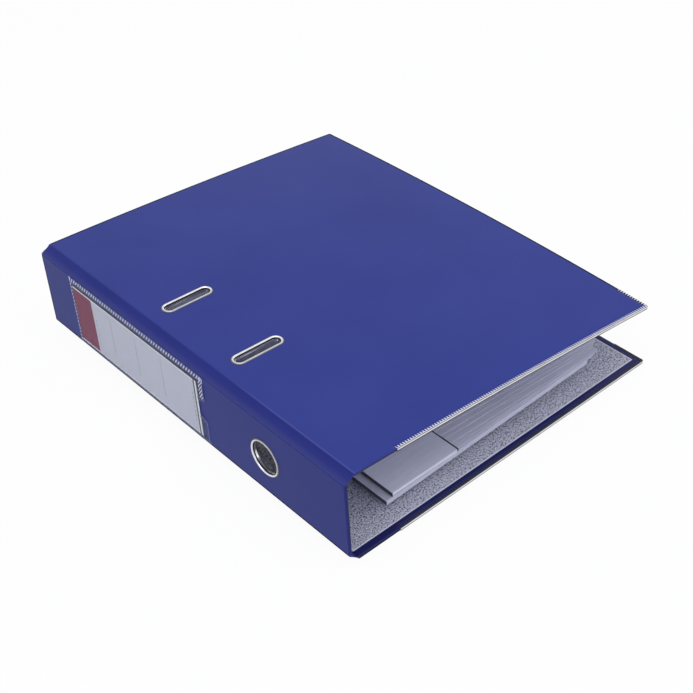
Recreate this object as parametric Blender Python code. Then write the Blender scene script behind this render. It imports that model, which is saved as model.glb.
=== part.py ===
"""Lever arch file, foolscap size, lying on its rear cover with the front cover closed.

The file is modelled in its own coordinates and then centred: x runs from the outer face of
the spine to the fore-edge, y from the foot to the head, z up from the outer face of the rear
cover. Every piece is one closed solid, and every moving piece hangs on an empty on its axis.
"""

import math

import bmesh
import bpy
from mathutils import Matrix, Vector

MM = 0.001

# Overall size of the closed file
FILE_HEIGHT = 345 * MM
FILE_DEPTH = 285 * MM
SPINE_WIDTH = 75 * MM
COVER_DROOP = math.radians(4.6)

# Layers of a panel, from the outer face inwards
COVERING = 0.4 * MM
GLUE = 0.1 * MM
BOARD = 1.8 * MM
LINING = 0.3 * MM
TURN_IN = 15 * MM
LINING_MARGIN = 6 * MM
LINING_START = 0.4 * MM

# Flexible joint between the spine and a cover
JOINT_DEPTH = 8 * MM
REAR_JOINT_RISE = 7.6 * MM
FRONT_JOINT_RISE = 5 * MM
JOINT_DIP = 0.8 * MM
JOINT_THICKNESS = 1.1 * MM
HINGE_DEPTH = 3.6 * MM
HINGE_INSET = 4.6 * MM

# Folded edge rail on the foot of each cover
RAIL_SHEET = 0.3 * MM
RAIL_LEG = 2 * MM
RAIL_START = 35.5 * MM
RAIL_RETURN = 27.5 * MM
RAIL_GAP = 0.05 * MM

# Finger ring in the spine
RING_BORE = 26 * MM
RING_OUTER = 30 * MM
RING_WALL = 0.5 * MM
RING_FLANGE = 0.9 * MM
RING_FROM_FOOT = 81 * MM

# Label pocket and card on the spine
POCKET_LENGTH = 163 * MM
POCKET_WIDTH = 59 * MM
POCKET_FROM_FOOT = 144 * MM
POCKET_STAND = 0.9 * MM
POCKET_FILM = 0.25 * MM
POCKET_WELD = 3 * MM
THUMB_NOTCH = 9 * MM
CARD_LENGTH = 152 * MM
CARD_WIDTH = 49 * MM
CARD_THICKNESS = 0.3 * MM

# Slots in the front cover
SLOT_LENGTH = 39 * MM
SLOT_WIDTH = 8.5 * MM
SLOT_WALL = 0.4 * MM
SLOT_RIM = 1.5 * MM
SLOT_RIM_HEIGHT = 0.65 * MM
SLOT_FROM_SPINE = 41.6 * MM

# Base plate of the mechanism
MECHANISM_FROM_FOOT = 176 * MM
PLATE_SHEET = 1 * MM
PLATE_LENGTH = 164 * MM
PLATE_WIDTH = 64 * MM
PLATE_FROM_SPINE = 12 * MM
PLATE_EMBOSS = 4 * MM
PLATE_FLANGE = 14 * MM
PLATE_SIDE_FLANGE = 5 * MM
PLATE_SLOPE = 3 * MM
PLATE_CORNER = 5 * MM
PLATE_WINDOW_WIDTH = 7.6 * MM

# Rivets that hold the plate to the rear cover
RIVET_SHANK = 4 * MM
RIVET_HEAD = 9 * MM
RIVET_CLENCH = 7 * MM
RIVET_HEAD_DEPTH = 0.8 * MM
RIVET_SPREAD = 32 * MM

# Posts and arches
ARCH_SPACING = 80 * MM
ARCH_WIRE = 4.2 * MM
ARCH_RADIUS = 17 * MM
ARCH_FROM_SPINE = 42.5 * MM
ARCH_BELOW_COVER = 6.6 * MM
ARCH_BEND = 3.6 * MM
POST_DIAMETER = 5 * MM
POST_TOP = 47 * MM
POST_FOOT = 8 * MM
POST_CHAMFER = 0.8 * MM
SHAFT_FROM_SPINE = 33 * MM
SHAFT_ABOVE_PLATE = 4 * MM
CRANK_RADIUS = 8 * MM
CRANK_START = 170 * MM
CRANK_LENGTH = 31 * MM
SADDLE_LENGTH = 7 * MM
SADDLE_WALL = 1.2 * MM
SADDLE_FOOT = 5 * MM
SADDLE_FOOT_HEIGHT = 1.2 * MM
FOOT_SADDLE_AT = 147.5 * MM
HEAD_SADDLE_AT = 208.5 * MM

# Lever and its bracket
LEVER_PIVOT_AT = 190 * MM
LEVER_PIVOT_RISE = 12.6 * MM
LEVER_WIDTH = 8.7 * MM
LEVER_SHEET = 0.9 * MM
LEVER_PLATE = 1.2 * MM
LEVER_REACH = 46 * MM
LEVER_HUB = 3.6 * MM
LEVER_SKIRT = 2.4 * MM
LEVER_REST = math.radians(3)
PIN_DIAMETER = 3 * MM
PIN_HEAD = 5.2 * MM
PIN_HEAD_DEPTH = 0.7 * MM
CAM_DIAMETER = 4 * MM
CAM_AHEAD = 3.2 * MM
CAM_WALL = 1.2 * MM
BRACKET_SHEET = 1 * MM
BRACKET_LENGTH = 8 * MM
BRACKET_ABOVE_PIN = 3 * MM
GRIP_LENGTH = 11 * MM
GRIP_WIDTH = 15 * MM
GRIP_THICKNESS = 4.8 * MM
GRIP_PAST_TIP = 3.5 * MM
GRIP_ROUNDING = 1.2 * MM

# Torsion spring round the shaft
SPRING_WIRE = 1 * MM
SPRING_RADIUS = 3.2 * MM
SPRING_PITCH = 1.8 * MM
SPRING_TURNS = 5
SPRING_START = 157 * MM
SPRING_TAIL = 10 * MM
POINTS_PER_CURL = 10

# Compressor bar and dividers
BAR_LENGTH = 100 * MM
BAR_WIDTH = 12 * MM
BAR_THICKNESS = 2.5 * MM
DIVIDER_FROM_SPINE = 47 * MM
DIVIDER_DEPTH = 214 * MM
DIVIDER_HEIGHT = 311 * MM
DIVIDER_FROM_FOOT = 17 * MM
DIVIDER_STACK = 3.6 * MM
DIVIDER_LEDGE = 5.5 * MM
DIVIDER_CORNER = 3 * MM
PUNCHED_HOLE = 6.2 * MM

# Gaps between pieces
CLEAR = 0.3 * MM
FIT = 0.15 * MM
OVERCUT = 1 * MM

# Facets
ROUND_SIDES = 24
BEND_STEPS = 6
ARCH_STEPS = 18

# Depths of the layer faces below a panel's outer face
BOARD_OUT = COVERING + GLUE
BOARD_IN = BOARD_OUT + BOARD
TURN_IN_OUT = BOARD_IN + GLUE
WRAP = TURN_IN_OUT + COVERING
LINING_OUT = WRAP + GLUE
PANEL = LINING_OUT + LINING

# Panel edges: the rail stands just proud of the covering at the foot and the fore-edge
FOOT_EDGE = RAIL_SHEET + RAIL_GAP
COVER_DEPTH = FILE_DEPTH - JOINT_DEPTH
COVERING_DEPTH = COVER_DEPTH - FOOT_EDGE
SPINE_LOW = REAR_JOINT_RISE
SPINE_HIGH = SPINE_WIDTH - FRONT_JOINT_RISE
SPINE_MIDDLE = (SPINE_LOW + SPINE_HIGH) / 2

# Heights in the mechanism
PLATE_UNDER = PANEL + CLEAR / 2
FLANGE_TOP = PLATE_UNDER + PLATE_SHEET
PLATE_TOP = FLANGE_TOP + PLATE_EMBOSS
SHAFT_HEIGHT = PLATE_TOP + SHAFT_ABOVE_PLATE
PIVOT_HEIGHT = PLATE_TOP + LEVER_PIVOT_RISE
WIRE = ARCH_WIRE / 2
CAM_HEIGHT = SHAFT_HEIGHT + WIRE + CLEAR + CAM_DIAMETER / 2
POST_FROM_SPINE = ARCH_FROM_SPINE + ARCH_RADIUS
LEG_FROM_SPINE = ARCH_FROM_SPINE - ARCH_RADIUS
LEVER_FROM_SPINE = SHAFT_FROM_SPINE + CRANK_RADIUS
LEVER_PLATE_TOP = LEVER_HUB
LEVER_PLATE_UNDER = LEVER_HUB - LEVER_PLATE
ARCH_ROWS = {
    "foot": MECHANISM_FROM_FOOT - ARCH_SPACING / 2,
    "head": MECHANISM_FROM_FOOT + ARCH_SPACING / 2,
}

# The two hinge lines, each the same depth below its cover's outer face
SPINE_HINGE = Vector((HINGE_DEPTH, 0, HINGE_INSET))
FRONT_HINGE = Vector((
    HINGE_DEPTH,
    0,
    SPINE_WIDTH
    + (JOINT_DEPTH - HINGE_DEPTH) * math.tan(COVER_DROOP)
    - HINGE_INSET / math.cos(COVER_DROOP),
))


def cover_height(x):
    """Height of the front cover's outer face at a distance x from the spine."""
    return SPINE_WIDTH - (x - JOINT_DEPTH) * math.tan(COVER_DROOP)


ARCH_CENTRE_HEIGHT = cover_height(ARCH_FROM_SPINE) - ARCH_BELOW_COVER - WIRE - ARCH_RADIUS

# Each body's axis point, and the body that carries it
PIVOTS = {
    "rear_cover": (None, Vector((0, 0, 0))),
    "spine": ("rear_cover", SPINE_HINGE),
    "front_cover": ("spine", FRONT_HINGE),
    "label": ("spine", Vector((-POCKET_STAND, POCKET_FROM_FOOT, SPINE_MIDDLE))),
    "arch": ("rear_cover", Vector((SHAFT_FROM_SPINE, MECHANISM_FROM_FOOT, SHAFT_HEIGHT))),
    "lever": ("rear_cover", Vector((LEVER_FROM_SPINE, LEVER_PIVOT_AT, PIVOT_HEIGHT))),
    "compressor": ("rear_cover", Vector((POST_FROM_SPINE, MECHANISM_FROM_FOOT, PLATE_TOP))),
}

# Modelling frames: where a piece's own coordinates lie in the file
FILE_FRAME = Matrix.Identity(4)
REAR_FRAME = Matrix.Translation((JOINT_DEPTH, 0, 0))
FRONT_FRAME = (
    Matrix.Translation((JOINT_DEPTH, 0, SPINE_WIDTH)) @ Matrix.Rotation(COVER_DROOP, 4, "Y")
)
LEVER_FRAME = (
    Matrix.Translation((LEVER_FROM_SPINE, LEVER_PIVOT_AT, PIVOT_HEIGHT))
    @ Matrix.Rotation(-LEVER_REST, 4, "X")
    @ Matrix.Rotation(math.pi, 4, "Z")
)


def clear_scene():
    """Start from an empty scene."""
    for old in list(bpy.data.objects):
        bpy.data.objects.remove(old, do_unlink=True)


def finish(name, colour, roughness, metallic=0.0):
    """One Principled material."""
    made = bpy.data.materials.new(name)
    made.use_nodes = True
    shader = made.node_tree.nodes["Principled BSDF"]
    shader.inputs["Base Color"].default_value = (*colour, 1)
    shader.inputs["Roughness"].default_value = roughness
    shader.inputs["Metallic"].default_value = metallic
    return made


def add_pivots():
    """An empty on each body's axis, with the whole file centred over the origin."""
    centre = Vector(((FILE_DEPTH - RING_FLANGE - GLUE) / 2, FILE_HEIGHT / 2, 0))
    empties = {}
    for body, (carrier, point) in PIVOTS.items():
        empty = bpy.data.objects.new(body + "_axis", None)
        bpy.context.collection.objects.link(empty)
        if carrier is None:
            empty.location = point - centre
        else:
            empty.parent = empties[carrier]
            empty.location = point - PIVOTS[carrier][1]
        empties[body] = empty
    return empties


def seat(piece, body, frame):
    """Hang a piece on its body's empty, with its own coordinates at the given frame."""
    piece.parent = AXES[body]
    piece.matrix_basis = Matrix.Translation(-PIVOTS[body][1]) @ frame


def add_node(name, data, surface, body, frame=FILE_FRAME):
    """A named piece of the file."""
    piece = bpy.data.objects.new(name, data)
    data.materials.append(surface)
    bpy.context.collection.objects.link(piece)
    seat(piece, body, frame)
    return piece


def cut(piece, cutters):
    """Take each cutter mesh out of a piece; cutters are in the piece's own coordinates."""
    for number, mesh in enumerate(cutters):
        cutter = bpy.data.objects.new(f"{piece.name}_cutter_{number}", mesh)
        bpy.context.collection.objects.link(cutter)
        cutter.parent = piece.parent
        cutter.matrix_basis = piece.matrix_basis
        cutter.hide_render = True
        cutter.display_type = "WIRE"
        modifier = piece.modifiers.new(f"cut_{number}", "BOOLEAN")
        modifier.operation = "DIFFERENCE"
        modifier.solver = "EXACT"
        modifier.object = cutter


def mesh_from(points, faces, smooth=False):
    """A closed mesh with its faces turned outwards."""
    mesh = bpy.data.meshes.new("solid")
    shell = bmesh.new()
    corners = [shell.verts.new(point) for point in points]
    for face in faces:
        shell.faces.new([corners[index] for index in face])
    bmesh.ops.recalc_face_normals(shell, faces=shell.faces)
    shell.to_mesh(mesh)
    shell.free()
    if smooth:
        mesh.shade_smooth()
        mesh.set_sharp_from_angle(angle=math.radians(35))
    return mesh


def skin(rings, loop=False, smooth=False):
    """A closed skin through rings of equal count, capped at both ends or joined in a loop."""
    count = len(rings[0])
    points = [point for ring in rings for point in ring]
    faces = []
    last = len(rings) if loop else len(rings) - 1
    for low in range(last):
        high = (low + 1) % len(rings)
        for side in range(count):
            after = (side + 1) % count
            faces.append((
                low * count + side,
                low * count + after,
                high * count + after,
                high * count + side,
            ))
    if not loop:
        faces.append(tuple(range(count)))
        faces.append(tuple(range((len(rings) - 1) * count, len(rings) * count)))
    return mesh_from(points, faces, smooth)


def lift(outline, axis, level):
    """An outline in the plane across an axis, as points at one level on that axis."""
    if axis == "x":
        return [(level, a, b) for a, b in outline]
    if axis == "y":
        return [(a, level, b) for a, b in outline]
    return [(a, b, level) for a, b in outline]


def prism(outline, axis, start, end):
    """An outline carried straight along an axis."""
    return skin([lift(outline, axis, start), lift(outline, axis, end)])


def block(low, high):
    """A rectangular solid between two corners, given in any order."""
    outline = [(low[0], low[1]), (high[0], low[1]), (high[0], high[1]), (low[0], high[1])]
    return prism(outline, "z", low[2], high[2])


def arc(centre, radius, start, end, steps):
    """Points on a round stretch between two angles in degrees."""
    turns = [math.radians(start + (end - start) * step / steps) for step in range(steps + 1)]
    return [
        (centre[0] + radius * math.cos(turn), centre[1] + radius * math.sin(turn))
        for turn in turns
    ]


def circle(centre, radius):
    """A closed round outline."""
    return arc(centre, radius, 0, 360, ROUND_SIDES)[:-1]


def stadium(centre, length, width):
    """A closed outline with two straight sides and round ends, longer along its first axis."""
    reach = (length - width) / 2
    half = ROUND_SIDES // 2
    right = arc((centre[0] + reach, centre[1]), width / 2, -90, 90, half)
    left = arc((centre[0] - reach, centre[1]), width / 2, 90, 270, half)
    return right + left


def rounded_box(low, high, radius):
    """A closed rectangular outline with round corners."""
    outline = []
    corners = [(high[0], high[1], 0), (low[0], high[1], 90), (low[0], low[1], 180), (high[0], low[1], 270)]
    for x, y, start in corners:
        inner_x = x - radius if x == high[0] else x + radius
        inner_y = y - radius if y == high[1] else y + radius
        outline += arc((inner_x, inner_y), radius, start, start + 90, BEND_STEPS)
    return outline


def turned(profile, axis, centre, loop=False):
    """A round solid: each profile pair is a radius and a level on the axis."""
    return skin([lift(circle(centre, radius), axis, level) for radius, level in profile], loop, True)


def drill(axis, centre, diameter, start, end):
    """A round cutter along an axis."""
    return turned([(diameter / 2, start), (diameter / 2, end)], axis, centre)


def bent(corners, radius):
    """A path through corner points with every inner corner turned on a round bend."""
    path = [corners[0]]
    for before, corner, after in zip(corners, corners[1:], corners[2:]):
        back = (before - corner).normalized()
        ahead = (after - corner).normalized()
        half = back.angle(ahead) / 2
        centre = corner + (back + ahead).normalized() * (radius / math.sin(half))
        first = corner + back * (radius / math.tan(half))
        last = corner + ahead * (radius / math.tan(half))
        spread = (first - centre).angle(last - centre)
        for step in range(BEND_STEPS + 1):
            share = step / BEND_STEPS
            before_part = math.sin((1 - share) * spread)
            after_part = math.sin(share * spread)
            swing = ((first - centre) * before_part + (last - centre) * after_part) / math.sin(spread)
            path.append(centre + swing)
    path.append(corners[-1])
    return path


def rod(name, path, diameter, resolution):
    """A round wire along a path, with closed ends."""
    curve = bpy.data.curves.new(name, "CURVE")
    curve.dimensions = "3D"
    curve.bevel_depth = diameter / 2
    curve.bevel_resolution = resolution
    curve.use_fill_caps = True
    spline = curve.splines.new("POLY")
    spline.points.add(len(path) - 1)
    for point, place in zip(spline.points, path):
        point.co = (*place, 1)
    spline.use_smooth = True
    return curve


def rivet_places():
    """The four rivet centres, in file coordinates."""
    middle = PLATE_FROM_SPINE + PLATE_WIDTH / 2
    reach = (PLATE_LENGTH - PLATE_FLANGE) / 2
    return [
        (middle + side * RIVET_SPREAD / 2, MECHANISM_FROM_FOOT + end * reach)
        for end in (-1, 1)
        for side in (-1, 1)
    ]


def slot_centres():
    """The two slot centres in the front cover's own coordinates."""
    along = (SLOT_FROM_SPINE - JOINT_DEPTH) / math.cos(COVER_DROOP)
    return {row: (along, y) for row, y in ARCH_ROWS.items()}


def cover_openings(side, start, end):
    """Cutters for what passes through a cover between two depths."""
    if side == "front":
        hole = SLOT_WIDTH + 2 * (SLOT_WALL + FIT)
        reach = SLOT_LENGTH - SLOT_WIDTH + hole
        return [
            prism(stadium(centre, reach, hole), "z", start, end) for centre in slot_centres().values()
        ]
    places = [(x - JOINT_DEPTH, y) for x, y in rivet_places()]
    return [drill("z", place, RIVET_SHANK + 2 * FIT, start, end) for place in places]


def add_cover(side, body, frame, inward):
    """The board, covering and lining of one cover; inward is the sign of its inner side."""
    covering = add_node(
        f"{side}_covering",
        block((0, FOOT_EDGE, 0), (COVERING_DEPTH, FILE_HEIGHT, inward * WRAP)),
        BLUE_COVERING, body, frame,
    )
    hollow = block(
        (-OVERCUT, FOOT_EDGE + COVERING, inward * COVERING),
        (COVERING_DEPTH - COVERING, FILE_HEIGHT - COVERING, inward * TURN_IN_OUT),
    )
    window = block(
        (-OVERCUT, TURN_IN, inward * (TURN_IN_OUT - OVERCUT)),
        (COVERING_DEPTH - TURN_IN, FILE_HEIGHT - TURN_IN, inward * (WRAP + OVERCUT)),
    )
    recess = prism(rail_recess(), "z", -inward * OVERCUT, inward * (WRAP + OVERCUT))
    through = (-inward * OVERCUT, inward * (PANEL + OVERCUT))
    holes = cover_openings(side, *through)
    if side == "rear":
        holes = [
            drill("z", (x - JOINT_DEPTH, y), RIVET_HEAD + 2 * CLEAR, *through)
            for x, y in rivet_places()
        ]
    cut(covering, [hollow, window, recess, *holes])

    board = add_node(
        f"{side}_board",
        block(
            (GLUE, FOOT_EDGE + BOARD_OUT, inward * BOARD_OUT),
            (COVERING_DEPTH - BOARD_OUT, FILE_HEIGHT - BOARD_OUT, inward * BOARD_IN),
        ),
        GREYBOARD, body, frame,
    )
    cut(board, cover_openings(side, *through))
    if side == "rear":
        sunk = RIVET_HEAD_DEPTH + RAIL_GAP + FIT
        cut(board, [
            drill("z", (x - JOINT_DEPTH, y), RIVET_HEAD + 2 * CLEAR, -OVERCUT, sunk)
            for x, y in rivet_places()
        ])

    lining = add_node(
        f"{side}_lining",
        block(
            (LINING_START, LINING_MARGIN, inward * LINING_OUT),
            (COVER_DEPTH - LINING_MARGIN, FILE_HEIGHT - LINING_MARGIN, inward * PANEL),
        ),
        SPECKLED_PAPER, body, frame,
    )
    cut(lining, cover_openings(side, *through))


def rail_recess():
    """Where the covering is cut back for the rail: its legs, with room past the edges."""
    leg = RAIL_LEG + RAIL_GAP
    back = COVER_DEPTH - leg
    far = COVER_DEPTH + OVERCUT
    start = RAIL_START - RAIL_GAP
    top = RAIL_RETURN + RAIL_GAP
    return [(start, -OVERCUT), (far, -OVERCUT), (far, top), (back, top), (back, leg), (start, leg)]


def add_rail(side, body, frame, inward):
    """One strip of sheet metal folded over the foot edge and round the fore-edge corner."""
    back = COVER_DEPTH - RAIL_LEG
    outline = [
        (RAIL_START, 0), (COVER_DEPTH, 0), (COVER_DEPTH, RAIL_RETURN),
        (back, RAIL_RETURN), (back, RAIL_LEG), (RAIL_START, RAIL_LEG),
    ]
    web = COVER_DEPTH - RAIL_SHEET
    past = RAIL_LEG + OVERCUT
    channel = [
        (RAIL_START - OVERCUT, RAIL_SHEET), (web, RAIL_SHEET), (web, RAIL_RETURN + OVERCUT),
        (back - OVERCUT, RAIL_RETURN + OVERCUT), (back - OVERCUT, past), (RAIL_START - OVERCUT, past),
    ]
    outer = RAIL_GAP
    inner = WRAP - RAIL_GAP
    rail = add_node(
        f"{side}_edge_rail", prism(outline, "z", inward * outer, inward * inner),
        NICKEL, body, frame,
    )
    cut(rail, [
        prism(channel, "z", inward * (outer + RAIL_SHEET), inward * (inner - RAIL_SHEET)),
    ])


def add_spine():
    """The spine panel: a covering folded over the board at head and foot, and its lining."""
    foot = FOOT_EDGE
    head = FILE_HEIGHT
    outline = [
        (0, foot), (WRAP, foot), (WRAP, TURN_IN), (TURN_IN_OUT, TURN_IN),
        (TURN_IN_OUT, foot + COVERING), (COVERING, foot + COVERING),
        (COVERING, head - COVERING), (TURN_IN_OUT, head - COVERING),
        (TURN_IN_OUT, head - TURN_IN), (WRAP, head - TURN_IN), (WRAP, head), (0, head),
    ]
    hole = RING_BORE + 2 * (RING_WALL + FIT)
    centre = (RING_FROM_FOOT, SPINE_MIDDLE)
    covering = add_node(
        "spine_covering", prism(outline, "z", SPINE_LOW, SPINE_HIGH), BLUE_COVERING, "spine",
    )
    board = add_node(
        "spine_board",
        block(
            (BOARD_OUT, foot + BOARD_OUT, SPINE_LOW + GLUE),
            (BOARD_IN, head - BOARD_OUT, SPINE_HIGH - GLUE),
        ),
        GREYBOARD, "spine",
    )
    lining = add_node(
        "spine_lining",
        block(
            (LINING_OUT, LINING_MARGIN, SPINE_LOW + LINING_START),
            (PANEL, head - LINING_MARGIN, SPINE_HIGH - LINING_START),
        ),
        SPECKLED_PAPER, "spine",
    )
    for layer in (covering, board, lining):
        cut(layer, [drill("x", centre, hole, -OVERCUT, PANEL + OVERCUT)])


def joint_outline(cover_edge, cover_inward, spine_edge):
    """Cross-section of a joint strip: two dipped curves between a cover and the spine."""
    outer = [Vector(cover_edge), Vector(spine_edge)]
    inner = [
        outer[0] + Vector(cover_inward) * JOINT_THICKNESS,
        outer[1] + Vector((JOINT_THICKNESS, 0)),
    ]
    middle = Vector((JOINT_DEPTH, SPINE_MIDDLE))
    sides = []
    for start, end in (outer, inner):
        chord = end - start
        dip = Vector((-chord.y, chord.x)).normalized() * JOINT_DIP
        if dip.dot(middle - start) < 0:
            dip = -dip
        shares = [step / BEND_STEPS for step in range(BEND_STEPS + 1)]
        sides.append([start + chord * share + dip * 4 * share * (1 - share) for share in shares])
    return [tuple(point) for point in sides[0] + sides[1][::-1]]


def add_joint_strips():
    """The free stretches of covering and lining on either side of the spine."""
    rear = joint_outline((JOINT_DEPTH - GLUE, 0), (0, 1), (0, SPINE_LOW - GLUE))
    front = joint_outline(
        (JOINT_DEPTH - GLUE, SPINE_WIDTH),
        (-math.sin(COVER_DROOP), -math.cos(COVER_DROOP)),
        (0, SPINE_HIGH + GLUE),
    )
    add_node("rear_joint_strip", prism(rear, "y", FOOT_EDGE, FILE_HEIGHT), BLUE_COVERING, "rear_cover")
    add_node("front_joint_strip", prism(front, "y", FOOT_EDGE, FILE_HEIGHT), BLUE_COVERING, "spine")


def add_finger_ring():
    """A turned eyelet clenched through the spine, with a rounded flange on either face."""
    bore = RING_BORE / 2
    rim = RING_OUTER / 2
    barrel = bore + RING_WALL
    crown = (barrel + rim) / 2
    front = -GLUE
    back = PANEL + GLUE
    profile = [
        (bore, front - RING_FLANGE / 2), (barrel, front - RING_FLANGE * 0.9), (crown, front - RING_FLANGE),
        (rim - RING_WALL, front - RING_FLANGE * 0.7), (rim, front), (barrel, front), (barrel, back),
        (rim - RING_WALL, back), (crown, back + RING_FLANGE * 0.7), (bore, back + RING_FLANGE / 2),
    ]
    add_node(
        "finger_ring", turned(profile, "x", (RING_FROM_FOOT, SPINE_MIDDLE), True), NICKEL, "spine",
    )


def add_label():
    """A clear pocket welded along three sides, open at the foot, with a card inside."""
    low = SPINE_MIDDLE - POCKET_WIDTH / 2
    high = SPINE_MIDDLE + POCKET_WIDTH / 2
    foot = POCKET_FROM_FOOT
    head = foot + POCKET_LENGTH
    outer = -GLUE - POCKET_STAND
    pocket = add_node("label_pocket", block((outer, foot, low), (-GLUE, head, high)), CLEAR_FILM, "spine")
    inside = block(
        (outer + POCKET_FILM, foot - OVERCUT, low + POCKET_WELD),
        (OVERCUT, head - POCKET_WELD, high - POCKET_WELD),
    )
    notch = drill("x", (foot, SPINE_MIDDLE), 2 * THUMB_NOTCH, outer - OVERCUT, OVERCUT)
    cut(pocket, [inside, notch])

    card_low = low + POCKET_WELD + CLEAR
    card_head = head - POCKET_WELD - CLEAR
    card_outer = outer + POCKET_FILM + FIT
    add_node(
        "label_card",
        block(
            (card_outer, card_head - CARD_LENGTH, card_low),
            (card_outer + CARD_THICKNESS, card_head, card_low + CARD_WIDTH),
        ),
        LABEL_CARD, "label",
    )


def add_slot_eyelets():
    """Two long eyelets clenched through the front cover."""
    straight = SLOT_LENGTH - SLOT_WIDTH
    barrel = SLOT_WIDTH + 2 * SLOT_WALL
    rim = SLOT_WIDTH + 2 * SLOT_RIM
    crown = (barrel + rim) / 2
    face = GLUE
    back = -PANEL - GLUE
    profile = [
        (SLOT_WIDTH, face + SLOT_RIM_HEIGHT / 2), (barrel, face + SLOT_RIM_HEIGHT * 0.9),
        (crown, face + SLOT_RIM_HEIGHT), (rim - SLOT_WALL, face + SLOT_RIM_HEIGHT * 0.7),
        (rim, face), (barrel, face), (barrel, back), (rim - SLOT_WALL, back),
        (crown, back - SLOT_RIM_HEIGHT * 0.7), (SLOT_WIDTH, back - SLOT_RIM_HEIGHT / 2),
    ]
    for row, centre in slot_centres().items():
        rings = [
            lift(stadium(centre, straight + width, width), "z", level) for width, level in profile
        ]
        add_node(f"slot_eyelet_{row}", skin(rings, True, True), NICKEL, "front_cover", FRONT_FRAME)


def add_base_plate():
    """A pressed sheet tray with a raised platform, and a window for the foot of each arch to dip into."""
    left = PLATE_FROM_SPINE
    right = left + PLATE_WIDTH
    foot = MECHANISM_FROM_FOOT - PLATE_LENGTH / 2
    head = MECHANISM_FROM_FOOT + PLATE_LENGTH / 2

    def ring(across, along, level):
        return lift(
            rounded_box((left + across, foot + along), (right - across, head - along), PLATE_CORNER),
            "z", level,
        )

    side = PLATE_SIDE_FLANGE
    end = PLATE_FLANGE
    top = PLATE_SLOPE
    wall = PLATE_SHEET
    plate = add_node(
        "base_plate",
        skin([
            ring(side + top + wall, end + top + wall, PLATE_TOP - wall),
            ring(side + wall, end + wall, PLATE_UNDER),
            ring(0, 0, PLATE_UNDER),
            ring(0, 0, FLANGE_TOP),
            ring(side, end, FLANGE_TOP),
            ring(side + top, end + top, PLATE_TOP),
        ]),
        NICKEL, "rear_cover",
    )
    cut(plate, [
        drill("z", place, RIVET_SHANK + 2 * FIT, PLATE_UNDER - OVERCUT, FLANGE_TOP + OVERCUT)
        for place in rivet_places()
    ])
    cut(plate, [
        drill("z", (POST_FROM_SPINE, y), POST_DIAMETER + 2 * FIT, PLATE_UNDER, PLATE_TOP + OVERCUT)
        for y in ARCH_ROWS.values()
    ])
    window_start = LEG_FROM_SPINE - WIRE - 2 * CLEAR
    window_end = SHAFT_FROM_SPINE - WIRE + 2 * CLEAR
    half = PLATE_WINDOW_WIDTH / 2
    cut(plate, [
        block((window_start, y - half, PLATE_UNDER), (window_end, y + half, PLATE_TOP + OVERCUT))
        for y in ARCH_ROWS.values()
    ])


def add_rivets():
    """Four rivets, flush with the rear cover outside and clenched on the plate's flange."""
    shank = RIVET_SHANK / 2
    head_in = RAIL_GAP + RIVET_HEAD_DEPTH
    clench = FLANGE_TOP + FIT
    profile = [
        (RIVET_HEAD / 2 - GLUE, RAIL_GAP), (RIVET_HEAD / 2, head_in - FIT), (RIVET_HEAD / 2, head_in),
        (shank, head_in), (shank, clench), (RIVET_CLENCH / 2, clench),
        (RIVET_CLENCH / 2 - CLEAR, clench + RIVET_HEAD_DEPTH / 2), (shank, clench + RIVET_HEAD_DEPTH),
    ]
    for number, place in enumerate(rivet_places(), start=1):
        add_node(f"base_rivet_{number}", turned(profile, "z", place), NICKEL, "rear_cover")


def add_posts():
    """Two fixed posts, each with a foot under the plate and a chamfered top."""
    shank = POST_DIAMETER / 2
    foot_top = PLATE_TOP - PLATE_SHEET - FIT
    profile = [
        (POST_FOOT / 2, foot_top - PLATE_SHEET), (POST_FOOT / 2, foot_top), (shank, foot_top),
        (shank, POST_TOP - POST_CHAMFER), (shank - POST_CHAMFER, POST_TOP),
    ]
    for row, y in ARCH_ROWS.items():
        add_node(f"fixed_post_{row}", turned(profile, "z", (POST_FROM_SPINE, y)), NICKEL, "rear_cover")


def arch_points(y):
    """One arch from its tip over the post to the top of its leg."""
    rise = (POST_TOP + CLEAR - ARCH_CENTRE_HEIGHT) / ARCH_RADIUS
    tip = math.degrees(math.asin(max(-1.0, min(1.0, rise))))
    outline = arc((ARCH_FROM_SPINE, ARCH_CENTRE_HEIGHT), ARCH_RADIUS, tip, 180, ARCH_STEPS)
    return [Vector((x, y, z)) for x, z in outline]


def add_arch_wire():
    """One wire bent into both arches, their legs, the shaft and the crank between them."""
    foot = arch_points(ARCH_ROWS["foot"])
    head = arch_points(ARCH_ROWS["head"])
    crank_end = CRANK_START + CRANK_LENGTH
    turns = [
        (LEG_FROM_SPINE, ARCH_ROWS["foot"]), (SHAFT_FROM_SPINE, ARCH_ROWS["foot"]),
        (SHAFT_FROM_SPINE, CRANK_START), (LEVER_FROM_SPINE, CRANK_START),
        (LEVER_FROM_SPINE, crank_end), (SHAFT_FROM_SPINE, crank_end),
        (SHAFT_FROM_SPINE, ARCH_ROWS["head"]), (LEG_FROM_SPINE, ARCH_ROWS["head"]),
    ]
    corners = [foot[-1], *[Vector((x, y, SHAFT_HEIGHT)) for x, y in turns], head[-1]]
    path = foot[:-1] + bent(corners, ARCH_BEND) + head[-2::-1]
    add_node("arch_wire", rod("arch_wire", path, ARCH_WIRE, 3), NICKEL, "arch")


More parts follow.
